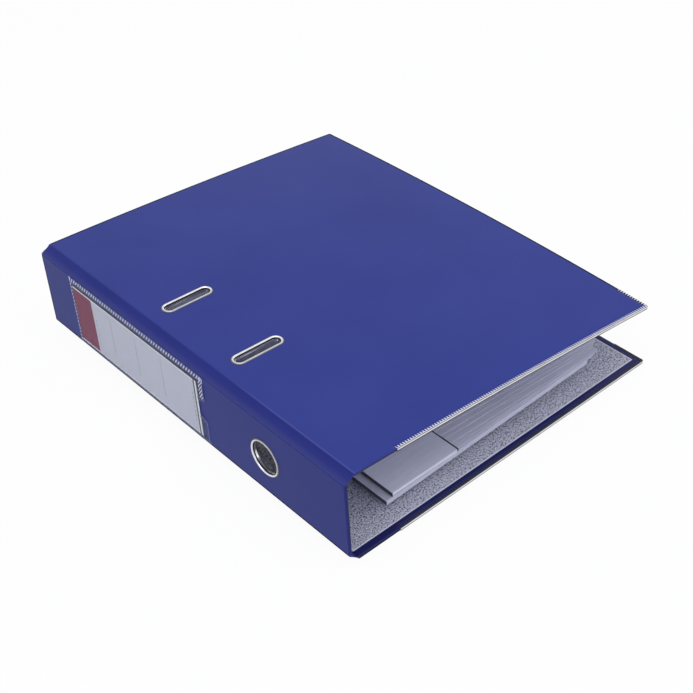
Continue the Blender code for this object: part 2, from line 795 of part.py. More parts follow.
def add_saddles():
    """Two pressed saddles on the plate, with the shaft turning in them."""
    bore = WIRE + FIT
    hump = bore + SADDLE_WALL
    base = PLATE_TOP + FIT
    foot_top = base + SADDLE_FOOT_HEIGHT
    reach = hump + SADDLE_FOOT
    centre = (SHAFT_FROM_SPINE, SHAFT_HEIGHT)
    outline = [
        (SHAFT_FROM_SPINE + reach, base), (SHAFT_FROM_SPINE + reach, foot_top),
        (SHAFT_FROM_SPINE + hump, foot_top), *arc(centre, hump, 0, 180, ROUND_SIDES // 2),
        (SHAFT_FROM_SPINE - hump, foot_top), (SHAFT_FROM_SPINE - reach, foot_top),
        (SHAFT_FROM_SPINE - reach, base),
    ]
    for row, y in (("foot", FOOT_SADDLE_AT), ("head", HEAD_SADDLE_AT)):
        start = y - SADDLE_LENGTH / 2
        end = y + SADDLE_LENGTH / 2
        saddle = add_node(f"shaft_saddle_{row}", prism(outline, "y", start, end), NICKEL, "rear_cover")
        cut(saddle, [drill("y", centre, 2 * bore, start - OVERCUT, end + OVERCUT)])


def add_lever_bracket():
    """A folded bracket on the plate with an ear on either side of the lever."""
    inner = LEVER_WIDTH / 2 + 1.5 * FIT
    outer = inner + BRACKET_SHEET
    base = PLATE_TOP + FIT
    web = base + BRACKET_SHEET
    top = PIVOT_HEIGHT + BRACKET_ABOVE_PIN
    x = LEVER_FROM_SPINE
    outline = [
        (x - outer, base), (x + outer, base), (x + outer, top), (x + inner, top),
        (x + inner, web), (x - inner, web), (x - inner, top), (x - outer, top),
    ]
    start = LEVER_PIVOT_AT - BRACKET_LENGTH / 2
    bracket = add_node(
        "lever_bracket", prism(outline, "y", start, start + BRACKET_LENGTH), NICKEL, "rear_cover",
    )
    pivot = (LEVER_PIVOT_AT, PIVOT_HEIGHT)
    cut(bracket, [drill("x", pivot, PIN_DIAMETER + 2 * FIT, x - outer - OVERCUT, x + outer + OVERCUT)])

    shank = PIN_DIAMETER / 2
    profile = [
        (PIN_HEAD / 2, x - outer - FIT - PIN_HEAD_DEPTH), (PIN_HEAD / 2, x - outer - FIT),
        (shank, x - outer - FIT), (shank, x + outer + FIT),
        (PIN_HEAD / 2, x + outer + FIT), (PIN_HEAD / 2, x + outer + FIT + PIN_HEAD_DEPTH),
    ]
    add_node("lever_pivot_pin", turned(profile, "x", pivot), NICKEL, "rear_cover")


def cam_place():
    """The cam pin's centre in the lever's own coordinates: along the lever, and up."""
    offset = LEVER_FRAME.inverted() @ Vector((
        LEVER_FROM_SPINE, LEVER_PIVOT_AT - CAM_AHEAD, CAM_HEIGHT,
    ))
    return offset.y, offset.z


def add_lever():
    """A channel-shaped lever, its cam pin and the grip pushed over its tip."""
    cam = cam_place()
    cheek = CAM_DIAMETER / 2 + CAM_WALL
    skirt = LEVER_PLATE_UNDER - LEVER_SKIRT
    grip_start = LEVER_REACH + GRIP_PAST_TIP - GRIP_LENGTH
    taper_end = grip_start - CLEAR
    taper_start = taper_end - LEVER_SKIRT
    outline = [
        *arc((0, 0), LEVER_HUB, 90, 200, ROUND_SIDES // 3),
        *arc(cam, cheek, 190, 300, ROUND_SIDES // 3),
        (LEVER_REACH / 3, skirt), (taper_start, skirt), (taper_end, LEVER_PLATE_UNDER),
        (LEVER_REACH, LEVER_PLATE_UNDER), (LEVER_REACH, LEVER_PLATE_TOP),
    ]
    half = LEVER_WIDTH / 2
    lever = add_node("lever", prism(outline, "x", -half, half), NICKEL, "lever", LEVER_FRAME)
    channel = block(
        (-half + LEVER_SHEET, -LEVER_REACH, -LEVER_REACH),
        (half - LEVER_SHEET, (taper_start + taper_end) / 2, LEVER_PLATE_UNDER),
    )
    past = half + OVERCUT
    cut(lever, [
        channel,
        drill("x", (0, 0), PIN_DIAMETER + 2 * FIT, -past, past),
        drill("x", cam, CAM_DIAMETER + 2 * FIT, -past, past),
    ])
    add_node("lever_cam_pin", drill("x", cam, CAM_DIAMETER, -half, half), NICKEL, "lever", LEVER_FRAME)

    wide = GRIP_WIDTH / 2
    middle = (LEVER_PLATE_TOP + LEVER_PLATE_UNDER) / 2
    grip = add_node(
        "lever_grip",
        block(
            (-wide, grip_start, middle - GRIP_THICKNESS / 2),
            (wide, grip_start + GRIP_LENGTH, middle + GRIP_THICKNESS / 2),
        ),
        BLACK_PLASTIC, "lever", LEVER_FRAME,
    )
    rounding = grip.modifiers.new("rounding", "BEVEL")
    rounding.width = GRIP_ROUNDING
    rounding.segments = 3
    cut(grip, [block(
        (-half - FIT, grip_start - OVERCUT, LEVER_PLATE_UNDER - FIT),
        (half + FIT, LEVER_REACH + FIT, LEVER_PLATE_TOP + FIT),
    )])


def spring_points():
    """Tail on the plate, the turns round the shaft, and the tail under the crank's arm."""
    low = SHAFT_HEIGHT - SPRING_RADIUS
    points = [Vector((SHAFT_FROM_SPINE - SPRING_TAIL, SPRING_START, low))]
    for step in range(SPRING_TURNS * POINTS_PER_CURL + 1):
        turn = step / POINTS_PER_CURL
        angle = 2 * math.pi * turn
        points.append(Vector((
            SHAFT_FROM_SPINE + SPRING_RADIUS * math.sin(angle),
            SPRING_START + SPRING_PITCH * turn,
            SHAFT_HEIGHT - SPRING_RADIUS * math.cos(angle),
        )))
    points.append(Vector((LEVER_FROM_SPINE - WIRE, CRANK_START, low)))
    return points


def least_gap(points, diameter, curl):
    """Least clear distance between stretches of a wire that lie about a turn or more apart."""
    apart = curl * 3 // 4
    return min(
        (points[one] - points[two]).length
        for one in range(len(points))
        for two in range(one + apart, len(points))
    ) - diameter


def add_spring():
    """A torsion spring that lifts the crank and so opens the arches."""
    points = spring_points()
    print("least gap in the spring, mm:", round(least_gap(points, SPRING_WIRE, POINTS_PER_CURL) / MM, 2))
    add_node("arch_spring", rod("arch_spring", points, SPRING_WIRE, 1), SPRING_STEEL, "rear_cover")


def punched(start, end):
    """Cutters for the two holes that the posts pass through."""
    return [
        drill("z", (POST_FROM_SPINE, y), PUNCHED_HOLE, start, end) for y in ARCH_ROWS.values()
    ]


def add_divider_sets():
    """Two slabs of punched divider cards on the plate, the upper one set back from the spine."""
    foot = DIVIDER_FROM_FOOT
    head = foot + DIVIDER_HEIGHT
    right = DIVIDER_FROM_SPINE + DIVIDER_DEPTH
    start = PLATE_TOP + CLEAR
    for name, ledge in (("divider_set_lower", 0), ("divider_set_upper", DIVIDER_LEDGE)):
        left = DIVIDER_FROM_SPINE + ledge
        end = start + DIVIDER_STACK
        outline = rounded_box((left, foot), (right, head), DIVIDER_CORNER)
        slab = add_node(name, prism(outline, "z", start, end), DIVIDER_CARD, "rear_cover")
        cut(slab, punched(start - OVERCUT, end + OVERCUT))
        start = end + CLEAR
    return start


def add_compressor_bar(start):
    """A flat bar on the posts that holds the sheets down."""
    end = start + BAR_THICKNESS
    low = (POST_FROM_SPINE - BAR_WIDTH / 2, MECHANISM_FROM_FOOT - BAR_LENGTH / 2)
    high = (POST_FROM_SPINE + BAR_WIDTH / 2, MECHANISM_FROM_FOOT + BAR_LENGTH / 2)
    outline = rounded_box(low, high, BAR_WIDTH / 3)
    bar = add_node("compressor_bar", prism(outline, "z", start, end), NICKEL, "compressor")
    cut(bar, punched(start - OVERCUT, end + OVERCUT))


clear_scene()
AXES = add_pivots()
BLUE_COVERING = finish("blue_covering", (0.05, 0.07, 0.28), 0.42)
GREYBOARD = finish("greyboard", (0.33, 0.31, 0.28), 0.9)
SPECKLED_PAPER = finish("speckled_paper", (0.42, 0.42, 0.41), 0.85)
NICKEL = finish("nickel", (0.62, 0.62, 0.61), 0.25, 1.0)
SPRING_STEEL = finish("spring_steel", (0.35, 0.35, 0.36), 0.35, 1.0)
CLEAR_FILM = finish("clear_film", (0.85, 0.87, 0.9), 0.15)
LABEL_CARD = finish("label_card", (0.8, 0.8, 0.8), 0.7)
BLACK_PLASTIC = finish("black_plastic", (0.02, 0.02, 0.02), 0.4)
DIVIDER_CARD = finish("divider_card", (0.66, 0.68, 0.7), 0.6)

add_cover("rear", "rear_cover", REAR_FRAME, 1)
add_cover("front", "front_cover", FRONT_FRAME, -1)
add_rail("rear", "rear_cover", REAR_FRAME, 1)
add_rail("front", "front_cover", FRONT_FRAME, -1)
add_spine()
add_joint_strips()
add_finger_ring()
add_label()
add_slot_eyelets()
add_base_plate()
add_rivets()
add_posts()
add_arch_wire()
add_saddles()
add_lever_bracket()
add_lever()
add_spring()
add_compressor_bar(add_divider_sets())
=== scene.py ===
"""Lever arch file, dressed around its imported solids.

The file lies on its rear cover with the front cover resting on the divider cards. Each section
below dresses one piece, or one group of like pieces, in the order the real file is put together.
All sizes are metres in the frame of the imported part: x from the spine to the fore-edge, y from
the foot to the head, z up from the rear cover.
"""

import math

import bmesh
import bpy
import numpy as np
from mathutils import Matrix, Vector
from mathutils.geometry import delaunay_2d_cdt


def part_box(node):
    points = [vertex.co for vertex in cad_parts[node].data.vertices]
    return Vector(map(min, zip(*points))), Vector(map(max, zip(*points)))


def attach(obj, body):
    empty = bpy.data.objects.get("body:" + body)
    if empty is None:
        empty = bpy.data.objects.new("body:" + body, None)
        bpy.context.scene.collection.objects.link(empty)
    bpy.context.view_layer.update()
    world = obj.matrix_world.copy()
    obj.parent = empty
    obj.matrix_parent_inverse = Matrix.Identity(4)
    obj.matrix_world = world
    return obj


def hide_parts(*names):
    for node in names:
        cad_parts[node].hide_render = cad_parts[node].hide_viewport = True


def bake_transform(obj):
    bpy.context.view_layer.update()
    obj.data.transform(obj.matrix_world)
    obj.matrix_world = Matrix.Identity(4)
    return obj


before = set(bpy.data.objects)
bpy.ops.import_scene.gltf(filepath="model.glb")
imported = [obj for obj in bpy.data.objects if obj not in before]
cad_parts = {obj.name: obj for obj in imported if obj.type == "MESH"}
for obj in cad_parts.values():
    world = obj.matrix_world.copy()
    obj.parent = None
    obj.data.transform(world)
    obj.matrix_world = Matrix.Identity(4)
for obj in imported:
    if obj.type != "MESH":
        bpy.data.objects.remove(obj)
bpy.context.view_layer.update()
MM = 0.001


# Studio: a pale sweep of floor under an even sky, one wide softbox overhead and two weaker ones
# at the foot and fore-edge. What the camera and polished metal see of the sky is plain white. The
# floor is a few millimetres low, which leaves room for the bowed front cover when it lies open.
WHITE = (1, 1, 1, 1)
SKY_COLOUR = (0.92, 0.95, 1, 1)
SKY_LIGHT = 0.5
FLOOR_COLOUR = (0.93, 0.93, 0.93, 1)
FLOOR_HALF = 4.0
FLOOR_LOW = 4 * MM
FLOOR_GLOW = 0.95

# Softboxes: name, place, the point each one faces, size and power
SOFTBOXES = (
    ("softbox_overhead", (-0.4, -0.3, 1.7), (0, 0, 0.04), 1.5, 14),
    ("softbox_foot", (0.5, -1.5, 0.75), (0, 0, 0.03), 1.0, 2.5),
    ("softbox_fore", (1.3, -0.8, 0.45), (0, 0, 0.02), 0.8, 4.4),
)

scene = bpy.context.scene
scene.view_settings.view_transform = "Standard"


def add(tree, kind, values=None, **settings):
    """Add a shader node; values sets its inputs, each to a constant or a link from a socket."""
    node = tree.nodes.new(kind)
    for key, value in settings.items():
        setattr(node, key, value)
    for key, value in (values or {}).items():
        if isinstance(value, bpy.types.NodeSocket):
            tree.links.new(value, node.inputs[key])
        else:
            node.inputs[key].default_value = value
    return node


def combine(tree, first, second, operation="MULTIPLY"):
    """Two factors made one, as a product unless another operation is named."""
    return add(tree, "ShaderNodeMath", {0: first, 1: second}, operation=operation).outputs[0]


def seen_directly(tree):
    """1 for rays from the camera, or off polished or through clear surfaces; 0 for soft light."""
    rays = add(tree, "ShaderNodeLightPath").outputs
    shiny = combine(tree, rays["Is Glossy Ray"], rays["Is Transmission Ray"], "MAXIMUM")
    return combine(tree, rays["Is Camera Ray"], shiny, "MAXIMUM")


def light_sky():
    """An even sky that lights the file softly and shows as white."""
    world = bpy.data.worlds.new("sky")
    world.use_nodes = True
    tree = world.node_tree
    tree.nodes.clear()
    soft = add(tree, "ShaderNodeBackground", {"Color": SKY_COLOUR, "Strength": SKY_LIGHT})
    white = add(tree, "ShaderNodeBackground", {"Color": WHITE, "Strength": 1.0})
    mix = add(tree, "ShaderNodeMixShader", {
        0: seen_directly(tree), 1: soft.outputs[0], 2: white.outputs[0],
    })
    add(tree, "ShaderNodeOutputWorld", {"Surface": mix.outputs[0]})
    scene.world = world


def lay_floor():
    """A wide pale floor that shows nearly white and still takes the file's shadow."""
    mesh = bpy.data.meshes.new("floor")
    corners = np.array([(-1, -1, 0), (1, -1, 0), (1, 1, 0), (-1, 1, 0)]) * FLOOR_HALF
    corners[:, 2] = -FLOOR_LOW
    mesh.from_pydata(corners.tolist(), [], [(0, 1, 2, 3)])
    pale = bpy.data.materials.new("pale_floor")
    pale.use_nodes = True
    tree = pale.node_tree
    tree.nodes.clear()
    matt = add(tree, "ShaderNodeBsdfDiffuse", {"Color": FLOOR_COLOUR})
    glow = add(tree, "ShaderNodeEmission", {"Color": WHITE, "Strength": 1.0})
    share = combine(tree, seen_directly(tree), FLOOR_GLOW)
    mix = add(tree, "ShaderNodeMixShader", {0: share, 1: matt.outputs[0], 2: glow.outputs[0]})
    add(tree, "ShaderNodeOutputMaterial", {"Surface": mix.outputs[0]})
    mesh.materials.append(pale)
    floor = bpy.data.objects.new("floor", mesh)
    scene.collection.objects.link(floor)


def hang_softbox(name, place, target, size, power):
    """A square softbox at a place, facing a target."""
    lamp = bpy.data.lights.new(name, "AREA")
    lamp.shape = "SQUARE"
    lamp.size = size
    lamp.energy = power
    holder = bpy.data.objects.new(name, lamp)
    holder.location = place
    holder.rotation_euler = (Vector(target) - Vector(place)).to_track_quat("-Z", "Y").to_euler()
    scene.collection.objects.link(holder)


light_sky()
lay_floor()
for softbox in SOFTBOXES:
    hang_softbox(*softbox)


# Camera: stands off the spine's foot corner, looks down on the file and leans a little, with the
# file's middle set just above the middle of the picture.
VIEW_AZIMUTH = math.radians(-38.841)
VIEW_ELEVATION = math.radians(38.775)
VIEW_ROLL = math.radians(-3.835)
VIEW_DISTANCE = 1.04205
VIEW_RIGHT = 6.3 * MM
VIEW_DOWN = 28.55 * MM
VIEW_CENTRE = Vector((0, 0, 35 * MM))
VIEW_LENS = 73.38


def stand_camera():
    """Aim from azimuth and elevation, roll about the line of sight, then shift across it."""
    back = Vector((
        math.sin(VIEW_AZIMUTH) * math.cos(VIEW_ELEVATION),
        -math.cos(VIEW_AZIMUTH) * math.cos(VIEW_ELEVATION),
        math.sin(VIEW_ELEVATION),
    ))
    level = Vector((math.cos(VIEW_AZIMUTH), math.sin(VIEW_AZIMUTH), 0))
    upright = back.cross(level)
    right = level * math.cos(VIEW_ROLL) + upright * math.sin(VIEW_ROLL)
    up = upright * math.cos(VIEW_ROLL) - level * math.sin(VIEW_ROLL)
    lens = bpy.data.cameras.new("camera")
    lens.lens = VIEW_LENS
    camera = bpy.data.objects.new("camera", lens)
    turn = Matrix((right, up, back)).transposed().to_4x4()
    place = VIEW_CENTRE + back * VIEW_DISTANCE + right * VIEW_RIGHT - up * VIEW_DOWN
    camera.matrix_world = Matrix.Translation(place) @ turn
    scene.collection.objects.link(camera)
    scene.camera = camera


stand_camera()


# Greyboard: the stiff core of each cover and of the spine, cut from pulped board. Only its edges
# could ever show, so the rear cover's and the spine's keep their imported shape.
def finish(name, **sockets):
    """A Principled finish; sockets are named with underscores for spaces."""
    made = bpy.data.materials.new(name)
    made.use_nodes = True
    tree = made.node_tree
    shader = tree.nodes["Principled BSDF"]
    for key, value in sockets.items():
        shader.inputs[key.replace("_", " ")].default_value = value
    return made, tree, shader


def feed(tree, shader, **sources):
    """Link sources to a shader's sockets, named as in finish."""
    for key, source in sources.items():
        tree.links.new(source, shader.inputs[key.replace("_", " ")])


def grain(tree, scale, detail=2.0, stretch=None):
    """Cloudy grain about 1 / scale metres across, fixed to the piece, optionally stretched."""
    place = add(tree, "ShaderNodeTexCoord").outputs["Object"]
    if stretch:
        place = add(tree, "ShaderNodeMapping", {"Vector": place, "Scale": stretch}).outputs[0]
    cloud = add(tree, "ShaderNodeTexNoise", {"Vector": place, "Scale": scale, "Detail": detail})
    return cloud.outputs[0]


def ramp(tree, factor, stops):
    """A colour ramp through (place, colour) stops."""
    node = add(tree, "ShaderNodeValToRGB", {"Fac": factor})
    band = node.color_ramp
    while len(band.elements) < len(stops):
        band.elements.new(0.5)
    for element, (place, colour) in zip(band.elements, stops):
        element.position = place
        element.color = (*colour, 1)
    return node.outputs[0]


def spread(tree, factor, low, high):
    """Map a 0 to 1 factor to a range of plain numbers."""
    node = add(tree, "ShaderNodeMapRange", {"Value": factor, "To Min": low, "To Max": high})
    return node.outputs[0]


def bump(tree, shader, height, depth, strength=1.0):
    """Raise a surface by a 0 to 1 height times depth."""
    node = add(tree, "ShaderNodeBump", {"Height": height, "Distance": depth, "Strength": strength})
    feed(tree, shader, Normal=node.outputs[0])


def greyboard_finish():
    """Matt pulp board with fine fibres and darker flecks."""
    made, tree, shader = finish("greyboard", Roughness=0.92)
    fibres = grain(tree, 700, 4, (1, 0.25, 1))
    colour = ramp(tree, fibres, [(0.3, (0.2, 0.19, 0.17)), (0.7, (0.36, 0.34, 0.3))])
    feed(tree, shader, Base_Color=colour)
    bump(tree, shader, fibres, 0.06 * MM)
    return made


greyboard = greyboard_finish()


def repaint(node, made):
    """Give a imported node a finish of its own."""
    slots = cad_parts[node].data.materials
    slots.clear()
    slots.append(made)


for node in ("rear_board", "spine_board"):
    repaint(node, greyboard)


# Covering: one smooth blue plastic film over each cover and the spine, glued to the board and turned
# in over its rounded edges. The edge rails pinch it flat. A band of painted shade darkens the bend of
# most edges, painted shade darkens the edge walls and the turn-in, and a pale line of painted
# highlight runs along the front cover's hinge edge towards the foot.
FILM = 0.35 * MM
FILM_HOLE_SLACK = 0.6 * MM
EDGE_ROUND = 1.0 * MM
PLAN_CORNER = 1.3 * MM
LEAST_CORNER = 0.02 * MM
TURN_IN = 15 * MM
# Where over the edge the darker blue of painted shade starts, and over what depth it blends in
TURN_START = 0.25 * MM
TURN_BLEND = 0.9 * MM
HINGE_DRAW = 0.03
# Width of the band of painted shade over the edges' bend, and a little slack
CREASE = 1.9 * MM
CREASE_SLACK = 0.01 * MM
RAIL_LEG = 2.4 * MM
RAIL_PINCH = 0.4 * MM
RAIL_STEP = 0.5 * MM
BOW_ALONG = 3.4 * MM
BOW_ACROSS = 1.8 * MM
# A pale line of painted highlight on the front cover's hinge edge: where across it, how wide, where
# along it it ends and over what length it fades
HIGHLIGHT_AT = 0.8 * MM
HIGHLIGHT_WIDE = 0.75 * MM
HIGHLIGHT_END = -40 * MM
HIGHLIGHT_FADE = 50 * MM
# Colours marked on the film: greyer towards the spine, darker as painted shade on its edges and
# turn-in, and paler as a painted highlight
FILM_GREYED = (0.034, 0.043, 0.212)
FILM_TURN_SHADE = (0.011, 0.013, 0.1)
FILM_HIGHLIGHT = (0.06, 0.075, 0.32)

# How finely the film is drawn: the rings on its flat border, the offsets from a rail's end where it
# rises out of the rail, the steps of arcs and sides, and the net that closes its face
FACE_RING = 4 * MM
BORDER_RINGS = np.array([3.2, 2.7, 2.45, 2.2, 1.9, 1.5]) * MM
RAIL_RUN_OUT = np.array([-0.6, -0.3, -0.1, 0.1]) * MM
ARC_STEPS = 8
SIDE_STEPS = 36
NET_STEP = 12 * MM
NET_CLEAR = 1.4
NET_MERGE = 1e-7
WELD_REACH = 1e-6
SHARP_DEGREES = 35

rear_low, rear_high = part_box("rear_covering")
spine_low, spine_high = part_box("spine_covering")
front_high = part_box("front_covering")[1]
rail_low, rail_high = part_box("rear_edge_rail")
FOOT = rear_low.y
HEAD = rear_high.y
COVER_REACH = rear_high.x - rear_low.x
PANEL_WRAP = rear_high.z - rear_low.z
DROOP = math.acos((front_high.x - rear_low.x) / COVER_REACH)
RAIL_START = rail_low.x - rear_low.x
RAIL_RETURN = rail_high.y
near_rail = RAIL_START + RAIL_RUN_OUT
near_return = RAIL_RETURN - RAIL_RUN_OUT[::-1]


def panel_frame(origin, across, inward, bow=None):
    """Places across, along and into a panel as points: origin + a * across + y * Y + d * inward,
    less the panel's bow at that place."""
    basis = np.array([across, (0, 1, 0), inward], float)

    def place(a, y, d):
        depth = d - bow(a, y) if bow else d
        return np.array(origin) + np.stack(np.broadcast_arrays(a, y, depth), -1) @ basis

    return place


def front_bow(a, y):
    """How far the front cover has warped outwards: an arch along it that grows from nothing at the
    hinge to its full rise at the fore-edge, and a shallower arch across it."""
    across = a / COVER_REACH
    along = 1 - (2 * y / (HEAD - FOOT)) ** 2
    return BOW_ALONG * across * along + BOW_ACROSS * 4 * across * (1 - across)


rear_place = panel_frame((rear_low.x, 0, rear_low.z), (1, 0, 0), (0, 0, 1))
spine_place = panel_frame((spine_low.x, 0, spine_low.z), (0, 0, 1), (1, 0, 0))
front_place = panel_frame(
    (rear_low.x, 0, front_high.z),
    (math.cos(DROOP), 0, -math.sin(DROOP)),
    (-math.sin(DROOP), 0, -math.cos(DROOP)),
    front_bow,
)


def quads(rows, columns, round_rows=False, round_columns=False, flip=False):
    """Faces of a grid of points stored row by row, joined end to start where it is round."""
    row = np.arange(rows if round_rows else rows - 1)[:, None]
    column = np.arange(columns if round_columns else columns - 1)[None, :]
    next_row = (row + 1) % rows
    next_column = (column + 1) % columns
    corners = [
        row * columns + column, next_row * columns + column,
        next_row * columns + next_column, row * columns + next_column,
    ]
    faces = np.stack(np.broadcast_arrays(*corners), -1).reshape(-1, 4)
    return faces[:, ::-1] if flip else faces


def shown(name, mesh, made, sharp):
    """Show a mesh in one finish as a smooth-shaded object at the origin, creased where its faces
    meet at more than sharp degrees."""
    mesh.materials.clear()
    mesh.materials.append(made)
    mesh.shade_smooth()
    mesh.set_sharp_from_angle(angle=math.radians(sharp))
    made_piece = bpy.data.objects.new(name, mesh)
    scene.collection.objects.link(made_piece)
    return made_piece


def piece(name, points, faces, made, sharp=SHARP_DEGREES):
    """A new piece from an array of points and the faces between them."""
    mesh = bpy.data.meshes.new(name)
    corners = [list(map(int, face)) for face in faces]
    mesh.from_pydata(np.asarray(points).reshape(-1, 3).tolist(), [], corners)
    return shown(name, mesh, made, sharp)


def thicken(made_piece, name, thickness):
    """Give a surface a wall of a thickness on its inner side."""
    wall = made_piece.modifiers.new(name, "SOLIDIFY")
    wall.thickness = thickness
    wall.offset = -1


def mark(made_piece, name, values):
    """Store one number for each point of a piece, for its finish to read."""
    stored = made_piece.data.attributes.new(name, "FLOAT", "POINT")
    stored.data.foreach_set("value", np.asarray(values, np.float32).ravel())


def marked(tree, name):
    """Read a number stored by mark, or 0 where a piece has none."""
    return add(tree, "ShaderNodeAttribute", attribute_name=name).outputs["Fac"]


def dress(made_piece, body, slot, *stands_for):
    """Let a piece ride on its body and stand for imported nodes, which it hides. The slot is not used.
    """
    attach(made_piece, body)
    if stands_for:
        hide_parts(*stands_for)
    return made_piece


def panel_outline(reach, inset, turned, hinged, places):
    """A panel's edge drawn in by inset: four sides at fixed places, held between corner arcs
    whose radius shrinks with the inset. On its inner side a hinged edge has no turn-in, so there
    it is hardly drawn in past the edge arc."""
    held = inset
    if turned and inset > EDGE_ROUND:
        held = EDGE_ROUND + HINGE_DRAW * (inset - EDGE_ROUND)
    low = np.array([held if hinged[0] else inset, FOOT + inset])
    high = np.array([reach - (held if hinged[1] else inset), HEAD - inset])
    radius = max(PLAN_CORNER - inset, LEAST_CORNER)
    across = np.clip(places[0], low[0] + radius, high[0] - radius)
    along = np.clip(places[1], low[1] + radius, high[1] - radius)
    swing = np.linspace(0, math.pi / 2, ARC_STEPS)
    sides = []
    for side, (a, y) in enumerate((
        (across, np.full_like(across, low[1])), (np.full_like(along, high[0]), along),
        (across[::-1], np.full_like(across, high[1])), (np.full_like(along, low[0]), along[::-1]),
    )):
        corner_a = high[0] - radius if side in (0, 1) else low[0] + radius
        corner_y = low[1] + radius if side in (0, 3) else high[1] - radius
        turn = swing + (side - 1) * math.pi / 2
        sides.append(np.stack([a, y], -1))
        sides.append(np.stack([corner_a + radius * np.cos(turn), corner_y + radius * np.sin(turn)], -1))
    return np.concatenate(sides)


def film_profile():
    """Inset and depth of the film from its outer face round the edge to the end of the turn-in."""
    swing = np.linspace(0, math.pi / 2, ARC_STEPS)
    out = np.stack([EDGE_ROUND * (1 - np.sin(swing)), EDGE_ROUND * (1 - np.cos(swing))], -1)
    back = np.stack([out[::-1, 0], PANEL_WRAP - out[::-1, 1]], -1)
    face = np.r_[FACE_RING, BORDER_RINGS]
    turned = np.r_[BORDER_RINGS[::-1], FACE_RING, TURN_IN]
    before = np.stack([face, np.zeros_like(face)], -1)
    after = np.stack([turned, np.full_like(turned, PANEL_WRAP)], -1)
    return np.concatenate([before, out, [[0, PANEL_WRAP / 2]], back, after])


def ease(value):
    """0 below 0, 1 above 1, and a smooth S between."""
    held = np.clip(value, 0, 1)
    return held * held * (3 - 2 * held)


def rail_press(edge, insets, reach):
    """How far a rail presses the film in, by ring and by place round the edge: a full pinch under
    the rail's legs, easing out past its start on the foot edge and its return on the fore-edge."""
    on_foot = ease((edge[:, 0] - near_rail[0]) / (near_rail[-1] - near_rail[0]))
    on_foot *= edge[:, 1] < FOOT + PLAN_CORNER
    on_fore = ease((near_return[-1] - edge[:, 1]) / (near_return[-1] - near_return[0]))
    on_fore *= edge[:, 0] > reach - PLAN_CORNER
    gripped = np.maximum(on_foot, on_fore)[None, :]
    under_leg = ease((RAIL_LEG + RAIL_STEP - insets) / RAIL_STEP)[:, None]
    return RAIL_PINCH * gripped * under_leg


def edge_shade_faces(faces, rings, depth, reach, edges, shade_deep):
    """Which faces take the band of painted shade: those whose corners all lie near a shaded edge,
    and less than a depth into the panel."""
    from_edges = np.stack([
        rings[..., 0], reach - rings[..., 0], rings[..., 1] - FOOT, HEAD - rings[..., 1],
    ]).reshape(4, -1)
    nearest = np.argmin(from_edges, axis=0)
    in_shade = np.array(edges)[nearest] & (from_edges.min(0) < CREASE + CREASE_SLACK)
    in_shade &= depth.ravel() < shade_deep + CREASE_SLACK
    return np.all(in_shade[np.array(faces)], axis=1)


def covering(name, place, reach, hinged, creased, holes, railed, flip, made, hinge_highlight=False):
    """A panel's film: rings of its outline follow the profile round the edge, a flat face with
    holes closes the outer side, and where a rail grips it the film is pressed in. Creased tells
    which edges (near, far, foot, head) take painted shade over the bend, and how deep. If asked,
    it has a pale painted highlight along its near edge, towards the foot."""
    across = np.linspace(0, reach, SIDE_STEPS)
    along = np.linspace(FOOT, HEAD, SIDE_STEPS)
    if railed:
        across = np.sort(np.r_[across, near_rail])
        along = np.sort(np.r_[along, near_return])
    profile = film_profile()
    rings = np.stack([
        panel_outline(reach, inset, depth > PANEL_WRAP / 2, hinged, (across, along))
        for inset, depth in profile
    ])
    depth = np.repeat(profile[:, 1][:, None], rings.shape[1], 1)
    if railed:
        # The ring where the rounded edge ends, on the inner side
        arc_end = rings[-3 - len(BORDER_RINGS)]
        side = np.sign(PANEL_WRAP / 2 - depth)
        depth = depth + side * rail_press(arc_end, profile[:, 0], reach)
    points = place(rings[..., 0], rings[..., 1], depth).reshape(-1, 3)
    faces = quads(len(profile), rings.shape[1], round_columns=True, flip=flip).tolist()

    spots, cap = punched(rings[0], holes)
    cap = (cap[:, ::-1] if flip else cap) + len(points)
    points = np.concatenate([points, place(spots[:, 0], spots[:, 1], 0)])
    film = piece(name, points, faces + cap.tolist(), made)
    on_face = np.zeros(len(spots))
    # The edge walls and the turn-in are marked for a darker blue: painted shade
    mark(film, "turned", np.r_[ease((depth.ravel() - TURN_START) / TURN_BLEND), on_face])
    # A pale line of painted highlight along the near edge, full near the foot and gone short of the
    # middle
    if hinge_highlight:
        pale_line = ease(1 - np.abs(rings[..., 0] - HIGHLIGHT_AT) / HIGHLIGHT_WIDE) * (depth < EDGE_ROUND / 2)
        pale_line *= ease((HIGHLIGHT_END - rings[..., 1]) / HIGHLIGHT_FADE)
        mark(film, "hinge_highlight", np.r_[pale_line.ravel(), on_face])
    # Faces near the listed edges take a near-black finish: painted shade over the bend
    dark = edge_shade_faces(faces, rings, depth, reach, *creased)
    film.data.materials.append(edge_shade_film)
    finish_of_face = np.r_[dark, np.zeros(len(cap), bool)].astype(int)
    film.data.polygons.foreach_set("material_index", finish_of_face)
    welded(film.data)
    sharpen_rims(film.data)
    thicken(film, "film", FILM)
    return film


